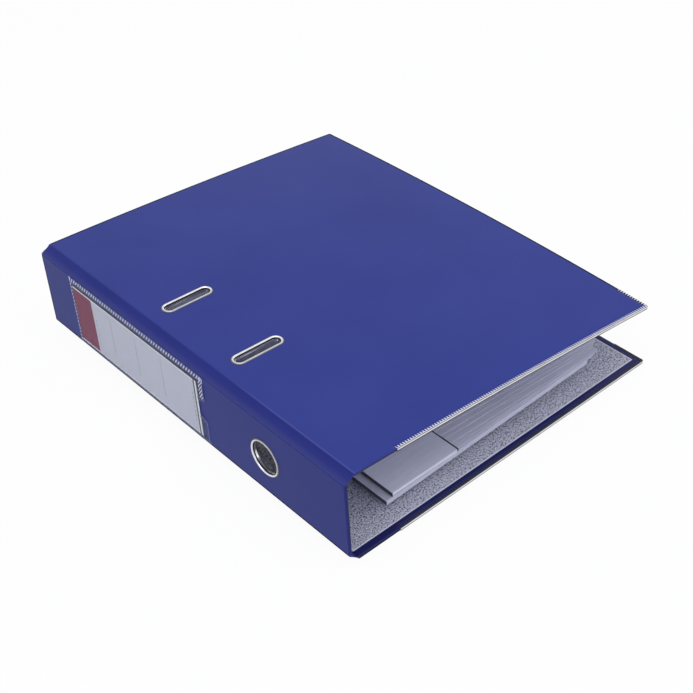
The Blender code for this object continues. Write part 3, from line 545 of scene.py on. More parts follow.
def punched(outline, holes):
    """A flat sheet with holes, as points and triangles: a grid of points inside the outline and
    clear of the holes, joined to all the rims by a Delaunay net."""
    low, high = outline.min(0), outline.max(0)
    columns, rows = np.maximum((high - low) / NET_STEP, 2).astype(int)
    across = np.linspace(low[0], high[0], columns + 1)[1:-1]
    along = np.linspace(low[1], high[1], rows + 1)[1:-1]
    grid = np.stack(np.meshgrid(across, along), -1).reshape(-1, 2)
    for hole in holes:
        grid = grid[~in_loop(grid, hole.mean(0) + NET_CLEAR * (hole - hole.mean(0)))]
    loops = [outline, *holes]
    starts = np.cumsum([0] + [len(loop) for loop in loops])
    edges = [
        (first + step, first + (step + 1) % count)
        for first, count in zip(starts, map(len, loops)) for step in range(count)
    ]
    flat = np.concatenate([*loops, grid])
    centre = flat.mean(0)
    net = delaunay_2d_cdt([Vector(spot) for spot in flat - centre], edges, [], 1, NET_MERGE)
    spots = np.array(net[0]) + centre
    faces = np.array(net[2])
    for hole in holes:
        faces = faces[~in_loop(spots[faces].mean(1), hole)]
    return spots, faces


def welded(mesh, outwards=False):
    """Join points that lie in one place, and turn the faces outwards if asked."""
    shell = bmesh.new()
    shell.from_mesh(mesh)
    bmesh.ops.remove_doubles(shell, verts=shell.verts, dist=WELD_REACH)
    if outwards:
        bmesh.ops.recalc_face_normals(shell, faces=shell.faces)
    shell.to_mesh(mesh)
    shell.free()


def sharpen_rims(mesh):
    """Crease a mesh where its faces meet at a sharp angle, and along its open edges."""
    mesh.set_sharp_from_angle(angle=math.radians(SHARP_DEGREES))
    corners = np.empty(len(mesh.loops), int)
    mesh.loops.foreach_get("edge_index", corners)
    faces_at = np.bincount(corners, minlength=len(mesh.edges))
    creased = np.empty(len(mesh.edges), bool)
    mesh.edges.foreach_get("use_edge_sharp", creased)
    mesh.edges.foreach_set("use_edge_sharp", creased | (faces_at < 2))


def in_loop(spots, loop):
    """Which spots lie inside a closed loop, by counting the loop's crossings to their right."""
    a, y = spots[:, 0][:, None], spots[:, 1][:, None]
    here, there = loop, np.roll(loop, -1, axis=0)
    crosses = (here[:, 1] > y) != (there[:, 1] > y)
    rise = np.where(there[:, 1] == here[:, 1], 1, there[:, 1] - here[:, 1])
    reach = here[:, 0] + (y - here[:, 1]) / rise * (there[:, 0] - here[:, 0])
    return np.sum(crosses & (a < reach), axis=1) % 2 == 1


def layer(tree, factor, under, colour):
    """Print a colour over another where the factor is 1."""
    node = add(tree, "ShaderNodeMix", {"Factor": factor, 6: under, 7: (*colour, 1)}, data_type="RGBA")
    return node.outputs[2]


def blue_film_finish(name, light, dark, gloss=0.22):
    """Satin blue film: faint mottling, a fine calendered grain, the board's slight waviness, and a
    greyer tone where marked, a darker one painted as shade where it turns over the edge and in, and a
    paler one painted as a highlight where marked."""
    made, tree, shader = finish(name, Specular_IOR_Level=gloss)
    mottle = grain(tree, 14, 3)
    colour = ramp(tree, mottle, [(0.3, dark), (0.7, light)])
    colour = layer(tree, marked(tree, "greyed"), colour, FILM_GREYED)
    colour = layer(tree, marked(tree, "turned"), colour, FILM_TURN_SHADE)
    colour = layer(tree, marked(tree, "hinge_highlight"), colour, FILM_HIGHLIGHT)
    feed(tree, shader, Base_Color=colour)
    fine = grain(tree, 2600, 2)
    feed(tree, shader, Roughness=spread(tree, fine, 0.4, 0.52))
    wave = grain(tree, 38, 2)
    swell = add(tree, "ShaderNodeBump", {"Height": wave, "Distance": 0.35 * MM, "Strength": 0.5})
    skin = add(tree, "ShaderNodeBump", {
        "Height": fine, "Distance": 0.03 * MM, "Strength": 0.6, "Normal": swell.outputs[0],
    })
    feed(tree, shader, Normal=skin.outputs[0])
    return made


def edge_shade_finish():
    """Near-black dull film: painted shade over the bend of the edges."""
    made, tree, shader = finish("painted_edge_shade", Roughness=0.8, Specular_IOR_Level=0.03)
    mottle = grain(tree, 900, 2)
    painted_shade = ramp(tree, mottle, [(0.3, (0.002, 0.002, 0.01)), (0.7, (0.004, 0.005, 0.024))])
    feed(tree, shader, Base_Color=painted_shade)
    return made


edge_shade_film = edge_shade_finish()
blue_film = blue_film_finish("blue_film", (0.022, 0.038, 0.258), (0.017, 0.031, 0.235))
# The spine's copy of the film is a little darker and duller than the covers': painted shade
spine_blue_film = blue_film_finish("spine_blue_film", (0.022, 0.034, 0.238), (0.018, 0.029, 0.22), 0.12)


def circle_loop(centre, radius, count=64):
    """Points round a circle."""
    turn = np.linspace(0, 2 * math.pi, count, endpoint=False)
    return np.asarray(centre) + radius * np.stack([np.cos(turn), np.sin(turn)], -1)


def stadium_loop(centre, straight, radius, count=32):
    """Points round a slot: two half circles of a radius joined by straights across the panel."""
    swing = np.linspace(-math.pi / 2, math.pi / 2, count)
    half = np.stack([straight / 2 + radius * np.cos(swing), radius * np.sin(swing)], -1)
    return np.asarray(centre) + np.concatenate([half, -half])


# Places of the holes that the film is punched with, taken from the metal that lines them
RIVETS = ("base_rivet_1", "base_rivet_2", "base_rivet_3", "base_rivet_4")
EYELETS = ("slot_eyelet_foot", "slot_eyelet_head")
SLOT_RADIUS = 4.0 * MM
SLOT_RIM = 1.75 * MM
RING_BORE = 12.6 * MM
ring_low, ring_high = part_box("finger_ring")
ring_at = np.array([(ring_low.z + ring_high.z) / 2 - spine_low.z, (ring_low.y + ring_high.y) / 2])


def rivet_place(node):
    """A rivet's centre and head radius in the rear cover."""
    low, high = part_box(node)
    return ((low.x + high.x) / 2 - rear_low.x, (low.y + high.y) / 2), (high.x - low.x) / 2


def slot_place(node):
    """A slot's centre in the front cover and the length of its straight sides."""
    low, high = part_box(node)
    thick = PANEL_WRAP * math.sin(DROOP)
    along_cover = (high.x - low.x - thick) / math.cos(DROOP)
    middle = (low.x + high.x + thick) / 2 - rear_low.x
    straight = along_cover - 2 * (SLOT_RADIUS + SLOT_RIM)
    return (middle / math.cos(DROOP), (low.y + high.y) / 2), straight


SPINE_REACH = spine_high.z - spine_low.z
# Which edges of each panel take painted shade over the bend, and how deep into the edge
REAR_EDGE_SHADE = (False, True, True, True), PANEL_WRAP - EDGE_ROUND
SPINE_EDGE_SHADE = (True, False, False, True), EDGE_ROUND
FRONT_EDGE_SHADE = (False, True, False, True), EDGE_ROUND
rear_film = covering(
    "rear_covering_film", rear_place, COVER_REACH, (True, False), REAR_EDGE_SHADE,
    [circle_loop(*rivet_place(node)) for node in RIVETS], True, True, blue_film,
)
dress(rear_film, "rear_cover", "blue_covering", "rear_covering")
spine_film = covering(
    "spine_covering_film", spine_place, SPINE_REACH, (True, True), SPINE_EDGE_SHADE,
    [circle_loop(ring_at, RING_BORE + FILM_HOLE_SLACK)], False, False, spine_blue_film,
)
dress(spine_film, "spine", "blue_covering", "spine_covering")
front_film = covering(
    "front_covering_film", front_place, COVER_REACH, (True, False), FRONT_EDGE_SHADE,
    [stadium_loop(*slot_place(node), SLOT_RADIUS + FILM_HOLE_SLACK) for node in EYELETS],
    True, False, blue_film, hinge_highlight=True,
)
dress(front_film, "front_cover", "blue_covering", "front_covering")


# Joints: between each cover and the spine the film runs free, with a strip of lining paper glued
# inside it, and folds into a shallow valley. It starts on one board's rounded edge and ends on the
# other's. Towards the spine it turns a little greyer.
JOINT_SKIN = 0.7 * MM
JOINT_SHORT = 0.1 * MM
JOINT_LEAVE = math.radians(52)
JOINT_PULL = 3.6 * MM
JOINT_STEPS = 20
JOINT_GREY_FROM = -0.8
JOINT_LINING = 0.3 * MM
JOINT_LINING_SHORT = 5.6 * MM
LINING_GLUE = 0.1 * MM
LINING_LAP = 0.2 * MM
LINING_PULL = 0.5 * MM
STRIP_STATIONS = 24
FILE_MIDDLE = np.array([0, 37 * MM])


def carried(name, loops, made, round_path=False, sharp=SHARP_DEGREES):
    """A closed profile carried along a path: one loop of points for each station, capped at the
    ends unless the path is round, with its faces turned outwards."""
    stations, count = loops.shape[:2]
    faces = quads(stations, count, round_rows=round_path, round_columns=True)
    points = loops.reshape(-1, 3)
    corner = points[faces] - points.mean(0)
    swept = np.cross(corner[:, 2] - corner[:, 0], corner[:, 3] - corner[:, 1])
    outwards = np.sum(corner.mean(1) * swept) > 0
    faces = (faces if outwards else faces[:, ::-1]).tolist()
    if not round_path:
        first = list(range(count))
        last = [(stations - 1) * count + step for step in range(count)]
        faces += [first, last[::-1]] if outwards else [first[::-1], last]
    return piece(name, points, faces, made, sharp)


def valley(start, start_way, end, end_way, pull):
    """A cubic curve from start to end that leaves and arrives along the given ways."""
    t = np.linspace(0, 1, JOINT_STEPS)[:, None]
    knots = [start, start + pull * start_way, end + pull * end_way, end]
    weights = [(1 - t) ** 3, 3 * t * (1 - t) ** 2, 3 * t ** 2 * (1 - t), t ** 3]
    return sum(weight * knot for weight, knot in zip(weights, knots))


def strip_along(name, curve, thick, made, foot, head):
    """A strip of even thickness from foot to head: a curve in x and z, thickened towards the file's
    middle."""
    way = np.gradient(curve, axis=0)
    way /= np.linalg.norm(way, axis=1)[:, None]
    side = np.stack([-way[:, 1], way[:, 0]], -1)
    inner_side = np.sign(np.sum((FILE_MIDDLE - curve.mean(0)) * side.mean(0)))
    inner = curve + inner_side * thick * side
    loop = np.concatenate([curve, inner[::-1]])
    y = np.linspace(foot, head, STRIP_STATIONS)
    loops = np.stack(np.broadcast_arrays(loop[None, :, 0], y[:, None], loop[None, :, 1]), -1)
    return carried(name, loops, made)


def edge_leave(place, reach, far):
    """Where the film leaves a board's rounded hinge edge, and which way it then runs, in x and z."""
    a = EDGE_ROUND * (1 - math.sin(JOINT_LEAVE))
    d = EDGE_ROUND * (1 - math.cos(JOINT_LEAVE))
    along, inward = -math.cos(JOINT_LEAVE), math.sin(JOINT_LEAVE)
    if far:
        a, along = reach - a, -along
    spot = place(a, 0, d)[[0, 2]]
    return spot, place(a + along, 0, d + inward)[[0, 2]] - spot


def lining_leave(place, reach, far):
    """The same for the lining paper, which leaves a board's inner face over its edge."""
    a, along = (reach - LINING_LAP, 1) if far else (LINING_LAP, -1)
    depth = PANEL_WRAP + LINING_GLUE
    spot = place(a, 0, depth)[[0, 2]]
    return spot, place(a + along, 0, depth)[[0, 2]] - spot


def speckled_finish():
    """Grey lining paper printed with crisp dark flecks and a few pale ones, and a pale cut edge."""
    made, tree, shader = finish("speckled_paper", Roughness=0.8, Specular_IOR_Level=0.25)
    fleck = grain(tree, 980, 1)
    printed = ramp(tree, fleck, [
        (0.36, (0.035, 0.035, 0.055)), (0.415, (0.39, 0.395, 0.5)), (0.5, (0.54, 0.545, 0.67)),
        (0.6, (0.59, 0.595, 0.72)), (0.68, (0.84, 0.845, 0.96)),
    ])
    cut_edge = combine(tree, marked(tree, "rim"), 0.3, "GREATER_THAN")
    printed = layer(tree, cut_edge, printed, (0.8, 0.8, 0.93))
    feed(tree, shader, Base_Color=printed)
    bump(tree, shader, grain(tree, 1800, 3), 0.04 * MM, 0.5)
    return made


speckled = speckled_finish()
# The joints' copy of the film is darker still: painted shade in their valleys
joint_film = blue_film_finish("joint_film", (0.017, 0.026, 0.215), (0.013, 0.021, 0.19), 0.18)
for name, cover_place, spine_far, bodies in (
    ("rear", rear_place, False, ("rear_cover", "spine")),
    ("front", front_place, True, ("front_cover", "spine")),
):
    start, start_way = edge_leave(cover_place, COVER_REACH, False)
    end, end_way = edge_leave(spine_place, SPINE_REACH, spine_far)
    fold = valley(start, start_way, end, end_way, JOINT_PULL)
    skin = strip_along(
        name + "_joint_film", fold, JOINT_SKIN, joint_film, FOOT + JOINT_SHORT, HEAD - JOINT_SHORT,
    )
    # The joint film turns greyer towards its spine end
    greyed = ease(np.linspace(JOINT_GREY_FROM, 1, JOINT_STEPS))
    mark(skin, "greyed", np.tile(np.r_[greyed, greyed[::-1]], STRIP_STATIONS))
    inner_start, inner_way = lining_leave(cover_place, COVER_REACH, False)
    inner_end, inner_end_way = lining_leave(spine_place, SPINE_REACH, spine_far)
    inner_fold = valley(inner_start, inner_way, inner_end, inner_end_way, LINING_PULL)
    paper = strip_along(
        name + "_joint_lining", inner_fold, JOINT_LINING, speckled,
        FOOT + JOINT_LINING_SHORT, HEAD - JOINT_LINING_SHORT,
    )
    for strip, slot in ((skin, "blue_covering"), (paper, "speckled_paper")):
        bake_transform(strip)
    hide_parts(name + "_joint_strip")


# Lining: speckled paper glued over each board's inner face and over the film's turn-in, a few
# millimetres short of the foot, head and fore-edge, with a pale cut edge. The front cover's board
# is laid here too, because it bows with its film and lining.
LINING = 0.3 * MM
LINING_EDGE = 1.0 * MM
SLOT_SLACK = 0.55 * MM
RING_SLACK = 0.65 * MM
RIVET_HOLE = 2.15 * MM
BOARD_GAP = 0.5 * MM
BOARD = 1.8 * MM
lining_low, lining_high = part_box("rear_lining")
spine_lining_low, spine_lining_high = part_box("spine_lining")


def rectangle_loop(low, high):
    """Points round a rectangle, one net step apart."""
    across = np.linspace(low[0], high[0], max(int((high[0] - low[0]) / NET_STEP), 2))
    along = np.linspace(low[1], high[1], max(int((high[1] - low[1]) / NET_STEP), 2))
    return np.concatenate([
        np.stack([across[:-1], np.full(len(across) - 1, low[1])], -1),
        np.stack([np.full(len(along) - 1, high[0]), along[:-1]], -1),
        np.stack([across[:0:-1], np.full(len(across) - 1, high[1])], -1),
        np.stack([np.full(len(along) - 1, low[0]), along[:0:-1]], -1),
    ])


def slab(name, place, low, high, holes, near, far, made):
    """A punched sheet of even thickness: two faces a thickness apart and a wall round each rim. A
    narrow band round the sheet is marked as its rim."""
    outline = rectangle_loop(low, high)
    inner = rectangle_loop(np.add(low, LINING_EDGE), np.subtract(high, LINING_EDGE))
    spots, faces = punched(inner, holes)
    band, band_faces = punched(outline, [inner])
    count = len(spots)
    flat = np.concatenate([spots, band])
    faces = np.concatenate([faces, band_faces + count])
    points = [place(flat[:, 0], flat[:, 1], near), place(flat[:, 0], flat[:, 1], far)]
    faces = np.concatenate([faces, faces[:, ::-1] + len(flat)]).tolist()
    start = 2 * len(flat)
    for loop in (outline, *holes):
        points += [place(loop[:, 0], loop[:, 1], near), place(loop[:, 0], loop[:, 1], far)]
        faces += (quads(2, len(loop), round_columns=True) + start).tolist()
        start += 2 * len(loop)
    points = np.concatenate(points)
    sheet = piece(name, points, faces, made)
    plan = np.concatenate([flat, flat, *[np.tile(loop, (2, 1)) for loop in (outline, *holes)]])
    border = np.minimum(plan - low, np.array(high) - plan).min(1)
    mark(sheet, "rim", border < LINING_EDGE / 2)
    welded(sheet.data, True)
    sheet.data.set_sharp_from_angle(angle=math.radians(SHARP_DEGREES))
    return sheet


lining_near = PANEL_WRAP + LINING_GLUE
lining_far = lining_near + LINING
lining_span = (lining_low.x - rear_low.x, lining_low.y), (lining_high.x - rear_low.x, lining_high.y)
spine_span = (
    (spine_lining_low.z - spine_low.z, spine_lining_low.y),
    (spine_lining_high.z - spine_low.z, spine_lining_high.y),
)
rivet_holes = [circle_loop(rivet_place(node)[0], RIVET_HOLE, count=24) for node in RIVETS]
ring_holes = [circle_loop(ring_at, RING_BORE + RING_SLACK)]
slot_holes = [stadium_loop(*slot_place(node), SLOT_RADIUS + SLOT_SLACK, count=16) for node in EYELETS]
for name, place, span, holes, body in (
    ("rear", rear_place, lining_span, rivet_holes, "rear_cover"),
    ("spine", spine_place, spine_span, ring_holes, "spine"),
    ("front", front_place, lining_span, slot_holes, "front_cover"),
):
    paper = slab(name + "_lining_paper", place, *span, holes, lining_near, lining_far, speckled)
    dress(paper, body, "speckled_paper", name + "_lining")
board_span = (BOARD_GAP, FOOT + BOARD_GAP), (COVER_REACH - BOARD_GAP, HEAD - BOARD_GAP)
board = slab(
    "front_cover_board", front_place, *board_span, slot_holes, BOARD_GAP, BOARD_GAP + BOARD, greyboard,
)
dress(board, "front_cover", "greyboard", "front_board")


# Edge rails: thin nickel-plated strip folded over each cover's foot edge and round its fore-edge
# corner. Its two legs are cut into fine teeth, which are crimped into the film. Its two folds and
# its inner leg are painted dark and dull: painted shade and a painted dark reflection.
RAIL_SHEET = 0.3 * MM
RAIL_INLAY = 0.05 * MM
RAIL_CORNER = 1.5 * MM
RAIL_CORNER_STEPS = 9
RAIL_CORNER_RUN = 0.3 * MM
RAIL_FOLD = 0.55 * MM
LEG_STEPS = 5
RAIL_SHARP_DEGREES = 40
TOOTH_PITCH = 2.1 * MM
TOOTH_SAMPLES = 8
TOOTH_BIAS = 0.1
TOOTH_FLANK = 0.5
WEB_EDGE = 0.34 * MM
FOLD_SHARE = 0.6
# Painted shade on the rail: how far up the web it reaches from the lower fold, how dark the inner leg
# is, and its colour
LOWER_SHADE = 1.5 * WEB_EDGE
INNER_SHADE = 0.9
NICKEL_SHADE = (0.008, 0.008, 0.012)
RAIL_PROUD = rear_low.y - rail_low.y


def nickel_finish(name, light, rough, takes_shade=False):
    """Bright plated steel with a faint drawn grain, soft patches of duller plating and, if asked, a
    dark dull skin where it is marked: painted shade."""
    made, tree, shader = finish(name, Metallic=1.0, Specular_IOR_Level=0.05)
    cloud = grain(tree, 120, 3)
    dull = tuple(0.86 * part for part in light)
    colour = ramp(tree, cloud, [(0.3, dull), (0.65, light)])
    if takes_shade:
        shade_paint = marked(tree, "shade_paint")
        colour = layer(tree, shade_paint, colour, NICKEL_SHADE)
        feed(tree, shader, Metallic=spread(tree, shade_paint, 1.0, 0.0))
    feed(tree, shader, Base_Color=colour)
    drawn = grain(tree, 900, 2, (1, 0.12, 1))
    feed(tree, shader, Roughness=spread(tree, drawn, rough - 0.06, rough + 0.1))
    bump(tree, shader, drawn, 0.01 * MM, 0.5)
    return made


nickel = nickel_finish("nickel", (0.82, 0.825, 0.88), 0.24, True)


def rail_section():
    """Inset and depth round the folded strip: outer leg, fold, web, fold, inner leg, then back
    along the inside one sheet thickness away."""
    low, high = RAIL_INLAY, PANEL_WRAP - RAIL_INLAY
    swing = np.linspace(0, math.pi / 2, LEG_STEPS)
    leg = np.linspace(RAIL_LEG, RAIL_FOLD, LEG_STEPS + 1)[:-1]

    def side(offset):
        fold = RAIL_FOLD - offset
        top = np.stack([leg, np.full_like(leg, low + offset)], -1)
        down = np.stack([RAIL_FOLD - fold * np.sin(swing), low + RAIL_FOLD - fold * np.cos(swing)], -1)
        up = np.stack([down[::-1, 0], low + high - down[::-1, 1]], -1)
        from_fold = RAIL_FOLD + WEB_EDGE * np.array([1, 2])
        web = np.stack([np.full(4, offset), np.r_[low + from_fold, high - from_fold[::-1]]], -1)
        foot = np.stack([leg[::-1], np.full_like(leg, high - offset)], -1)
        return np.concatenate([top, down, web, up, foot])

    outer, inner = side(0.0), side(RAIL_SHEET)
    return np.concatenate([outer, inner[::-1]])


def rail(name, place, outer_down):
    """The section carried along the cover's foot edge, round the corner and up the fore-edge. A
    square wave along the path draws the legs back towards the fold between their teeth."""
    inset, depth = rail_section().T
    reach, foot = COVER_REACH + RAIL_PROUD, FOOT - RAIL_PROUD
    step = TOOTH_PITCH / TOOTH_SAMPLES
    foot_run = np.arange(RAIL_START, reach - RAIL_CORNER, step)
    fore_run = np.arange(foot + RAIL_CORNER, RAIL_RETURN, step)
    swing = np.linspace(-math.pi / 2, 0, RAIL_CORNER_STEPS)[1:-1]
    run = np.r_[foot_run - RAIL_START, foot_run[-1] - RAIL_START + RAIL_CORNER * (swing + math.pi / 2)]
    run = np.r_[run, run[-1] + fore_run - fore_run[0] + RAIL_CORNER_RUN]
    gap = 1 - ease((np.cos(run / TOOTH_PITCH * 2 * math.pi) + TOOTH_BIAS) / TOOTH_FLANK)
    leg = np.maximum(inset - RAIL_FOLD, 0)
    inset = inset[None, :] - gap[:, None] * leg
    keep = np.maximum(inset, RAIL_CORNER)
    count = len(foot_run), len(swing), len(fore_run)
    a = np.minimum(foot_run[:, None], reach - keep[:count[0]])
    y = foot + inset[:count[0]]
    bend = slice(count[0], count[0] + count[1])
    arc = np.maximum(RAIL_CORNER - inset[bend], 0)
    a = np.concatenate([a, reach - keep[bend] + arc * np.cos(swing)[:, None]])
    y = np.concatenate([y, foot + keep[bend] + arc * np.sin(swing)[:, None]])
    last = slice(count[0] + count[1], None)
    a = np.concatenate([a, reach - inset[last]])
    y = np.concatenate([y, np.maximum(fore_run[:, None], foot + keep[last])])
    strip = carried(name, place(a, y, depth[None, :]), nickel, sharp=RAIL_SHARP_DEGREES)
    # The folds and the inner leg are painted dark: painted shade and a painted dark reflection
    mark(strip, "shade_paint", np.repeat(rail_shade(outer_down)[None, :], len(a), 0))
    return strip


def rail_shade(outer_down):
    """How much painted shade each point of the rail's section takes: all of its inner leg and its two
    folds, of which the lower is shaded a little way up the web."""
    inset, depth = rail_section().T
    from_face = np.minimum(depth, PANEL_WRAP - depth)
    lower = (depth < PANEL_WRAP / 2) == outer_down
    shaded_to = np.where(lower, RAIL_FOLD + LOWER_SHADE, RAIL_FOLD)
    on_web = inset < FOLD_SHARE * RAIL_FOLD
    in_fold = (from_face < shaded_to) & on_web
    in_leg = (depth > PANEL_WRAP / 2) & ~on_web
    return np.where(in_leg, INNER_SHADE, in_fold)


dress(rail("rear_rail", rear_place, True), "rear_cover", "nickel", "rear_edge_rail")
dress(rail("front_rail", front_place, False), "front_cover", "nickel", "front_edge_rail")


# Slot eyelets: pressed nickel liners set through the front cover, each with a rounded rim rolled
# down on the film and a flatter one clenched over the lining inside. A thin dark line of painted
# shadow runs round the rim, and the rim and bore are darkened with painted shade.
RIM_HIGH = 0.62 * MM
# Painted shade on the rim: how dark it grows towards the film, and where along the roll it begins
RIM_SHADE = 0.75
RIM_SHADE_FROM = -0.5
# The thin dark line of painted shadow round the rim: its width, and how far proud of the film and sunk
# under it
LINE_WIDE = 0.6 * MM
LINE_PROUD = 0.03 * MM
LINE_SUNK = 0.06 * MM
CLENCH_WIDE = 1.4 * MM
CLENCH_HIGH = 0.4 * MM
LINER_WALL = 0.4 * MM
ROLL_STEPS = 15
ROLL_SHARP_DEGREES = 50
INNER_FACE = PANEL_WRAP + 0.42 * MM

# Up the bore, in millimetres of depth into the panel: how much painted shade it takes
SLOT_BORE_SHADE = ((1.6, 0.0), (1.2, 1.0), (0.3, 1.0))


def rolled_section(rim_wide, rim_high, bore):
    """Distance out from the hole's wall and depth into the panel: over the rolled rim, out over the
    dark line of painted shadow, back under both, down the liner, round the clenched rim inside and up
    the bore. With it, how much painted shade each point takes: the rim darkens towards the film, and
    the bore's points are given as depth and shade."""
    swing = np.linspace(math.pi, 0, ROLL_STEPS)
    rim = np.stack([rim_wide / 2 * (1 + np.cos(swing)), -rim_high * np.sin(swing)], -1)
    line = rim_wide + LINE_WIDE
    under = np.array([
        [line, -LINE_PROUD], [line, LINE_SUNK], [LINER_WALL, LINE_SUNK], [LINER_WALL, INNER_FACE],
    ])
    clench = np.stack([
        CLENCH_WIDE / 2 * (1 - np.cos(swing)), INNER_FACE + CLENCH_HIGH * np.sin(swing),
    ], -1)
    bore_depth, bore_shade = np.array(bore).T
    wall = np.stack([np.zeros(len(bore)), bore_depth * MM], -1)
    rim_shade = RIM_SHADE * ease(np.linspace(RIM_SHADE_FROM, 1, ROLL_STEPS))
    shade_share = np.r_[rim_shade, 1.0, 1.0, np.zeros(ROLL_STEPS + 1), bore_shade[0], bore_shade]
    return np.concatenate([rim, under, clench, wall]), shade_share


def rolled(name, place, loop_at, section, shade_share):
    """A rolled section carried round a hole, whose loop is drawn at each distance out."""
    loops = np.stack([loop_at(out) for out in section[:, 0]], 1)
    points = place(loops[..., 0], loops[..., 1], section[:, 1][None, :])
    liner = carried(name, points, nickel, True, ROLL_SHARP_DEGREES)
    mark(liner, "shade_paint", np.repeat(shade_share[None, :], len(loops), 0))
    return liner


def eyelet(name, node):
    """The rolled section carried round a slot."""
    centre, straight = slot_place(node)

    def loop_at(out):
        return stadium_loop(centre, straight, SLOT_RADIUS + out)

    return rolled(name, front_place, loop_at, *rolled_section(SLOT_RIM, RIM_HIGH, SLOT_BORE_SHADE))


dress(eyelet("foot_slot_eyelet", "slot_eyelet_foot"), "front_cover", "nickel", "slot_eyelet_foot")
dress(eyelet("head_slot_eyelet", "slot_eyelet_head"), "front_cover", "nickel", "slot_eyelet_head")


# Finger ring: a deeper rolled eyelet of the same plated sheet, set through the spine near its foot
# for a finger to pull the file off a shelf.
RING_RIM = 1.6 * MM
RING_HIGH = 0.8 * MM
# Up the ring's bore, in millimetres of depth into the panel: how much painted shade it takes, dark at
# both ends with a bright band between
RING_BORE_SHADE = ((2.7, 1.0), (2.4, 0.0), (1.3, 0.0), (1.1, 1.0), (0.3, 1.0))


def ring_loop(out):
    """The ring's hole drawn at a distance out from its wall."""
    return circle_loop(ring_at, RING_BORE + out, count=96)


ring_section = rolled_section(RING_RIM, RING_HIGH, RING_BORE_SHADE)
ring = rolled("spine_finger_ring", spine_place, ring_loop, *ring_section)
dress(ring, "spine", "nickel", "finger_ring")


# Label pocket: clear film welded to the spine along its long sides and its head end, with a row of
# fine ribs pressed into the upper weld, the head weld and the lip above the thumb notch. Its foot
# end stays open, and the notch lets a thumb slide the card out.
POCKET_HIGH = 0.9 * MM
POCKET_WELD = 0.3 * MM
POCKET_SKIN = 0.18 * MM
POCKET_LAP = 0.7 * MM
NOTCH_RADIUS = 9 * MM
RISE_FROM = 1.2 * MM
RISE_WIDE = 1.9 * MM
TOP_RISE_GAP = 0.4 * MM
TOP_RISE_SHORT = 0.6 * MM
TOP_WELD = 4.4 * MM
TOP_RIB_PITCH = 2.9 * MM
TOP_RIB_SHARE = 0.42
TOP_RIB_SLANT = 0.56
LIP_RIB_PITCH = 3.2 * MM
LIP_RIB_SHARE = 0.45
LIP_RIB_SLANT = 1.4
LIP_CLEAR = 1 * MM
PALE_EDGE = 0.1 * MM
PALE_SHARE = 0.5
# The dark line of painted shadow by the card: how wide, how far past the card's edge, and how far it
# keeps from the head weld
FOLD_LINE = 1.3 * MM
FOLD_SHIFT = 0.7 * MM
FOLD_CLEAR = 2.5 * MM

# Welds, and the fold's dark line of painted shadow, in the film: where each starts, ends, and how
# softly
TOP_BAND = (0.4 * MM, TOP_WELD, 0.5 * MM)
HEAD_BAND = (0.3 * MM, 2.0 * MM, 0.3 * MM)
LIP_BAND = (0.2 * MM, 4.6 * MM, 0.4 * MM)
FOLD_BAND = (-0.1 * MM, FOLD_LINE, 0.3 * MM)

# How finely the pocket's film is drawn, from its welded edges inwards and along from the notch
BORDER_STEPS = np.array([0, 0.3, 0.6, 1.0, 1.5, 2.0, 2.3, 2.8, 3.3, 3.8]) * MM
BORDER_END = 4.2 * MM
TOP_STEPS = np.array([0.6, 0.3, 0]) * MM
TOP_START = 0.7 * MM
FILM_STEP = 0.5 * MM
NOTCH_STEPS = 40
RUN_STEPS = 60
RUN_FINE = 0.1

pocket_low, pocket_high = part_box("label_pocket")
label_low, label_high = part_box("label_card")


def between(tree, value, low, high):
    """1 where a value lies between two bounds, else 0."""
    above = combine(tree, value, low, "GREATER_THAN")
    return combine(tree, above, combine(tree, value, high, "LESS_THAN"))


def spine_coordinates(tree):
    """A point's place along the spine and up it."""
    split = add(tree, "ShaderNodeSeparateXYZ", {0: add(tree, "ShaderNodeTexCoord").outputs["Object"]})
    return split.outputs["Y"], split.outputs["Z"]


def hatch(tree, place, pitch, share):
    """1 on stripes a pitch apart along a place, each a share of the pitch wide."""
    return between(tree, combine(tree, place, pitch / 2, "PINGPONG"), -1.0, share * pitch / 2)


def clear_film_finish():
    """Clear film: nearly see-through, with slanting white ribs in the welds, pale edges, a dark line
    of painted shadow where it folds up over the card, and a slight ripple."""
    made, tree, shader = finish("clear_film", Roughness=0.16)
    y, z = spine_coordinates(tree)
    top_place = combine(tree, y, combine(tree, z, TOP_RIB_SLANT), "ADD")
    lip_place = combine(tree, z, combine(tree, y, LIP_RIB_SLANT), "ADD")
    top_ribs = hatch(tree, top_place, TOP_RIB_PITCH, TOP_RIB_SHARE)
    lip_ribs = hatch(tree, lip_place, LIP_RIB_PITCH, LIP_RIB_SHARE)
    ribs = combine(
        tree, combine(tree, marked(tree, "top_weld"), top_ribs),
        combine(tree, marked(tree, "end_weld"), lip_ribs), "MAXIMUM",
    )
    white = combine(tree, ribs, marked(tree, "pale"), "MAXIMUM")
    fold = combine(tree, marked(tree, "fold"), combine(tree, 1.0, white, "SUBTRACT"))
    tint = ramp(tree, fold, [(0.2, (0.66, 0.69, 0.84)), (0.6, (0.006, 0.008, 0.04))])
    feed(tree, shader, Base_Color=tint)
    veil = spread(tree, white, 0.04, 0.85)
    feed(tree, shader, Alpha=combine(tree, veil, combine(tree, fold, 0.85), "MAXIMUM"))
    bump(tree, shader, grain(tree, 90, 2), 0.12 * MM, 0.5)
    return made


def band(value, low, high, soft):
    """1 between two bounds, fading over a soft margin inside each."""
    return ease((value - low) / soft) * ease((high - value) / soft)


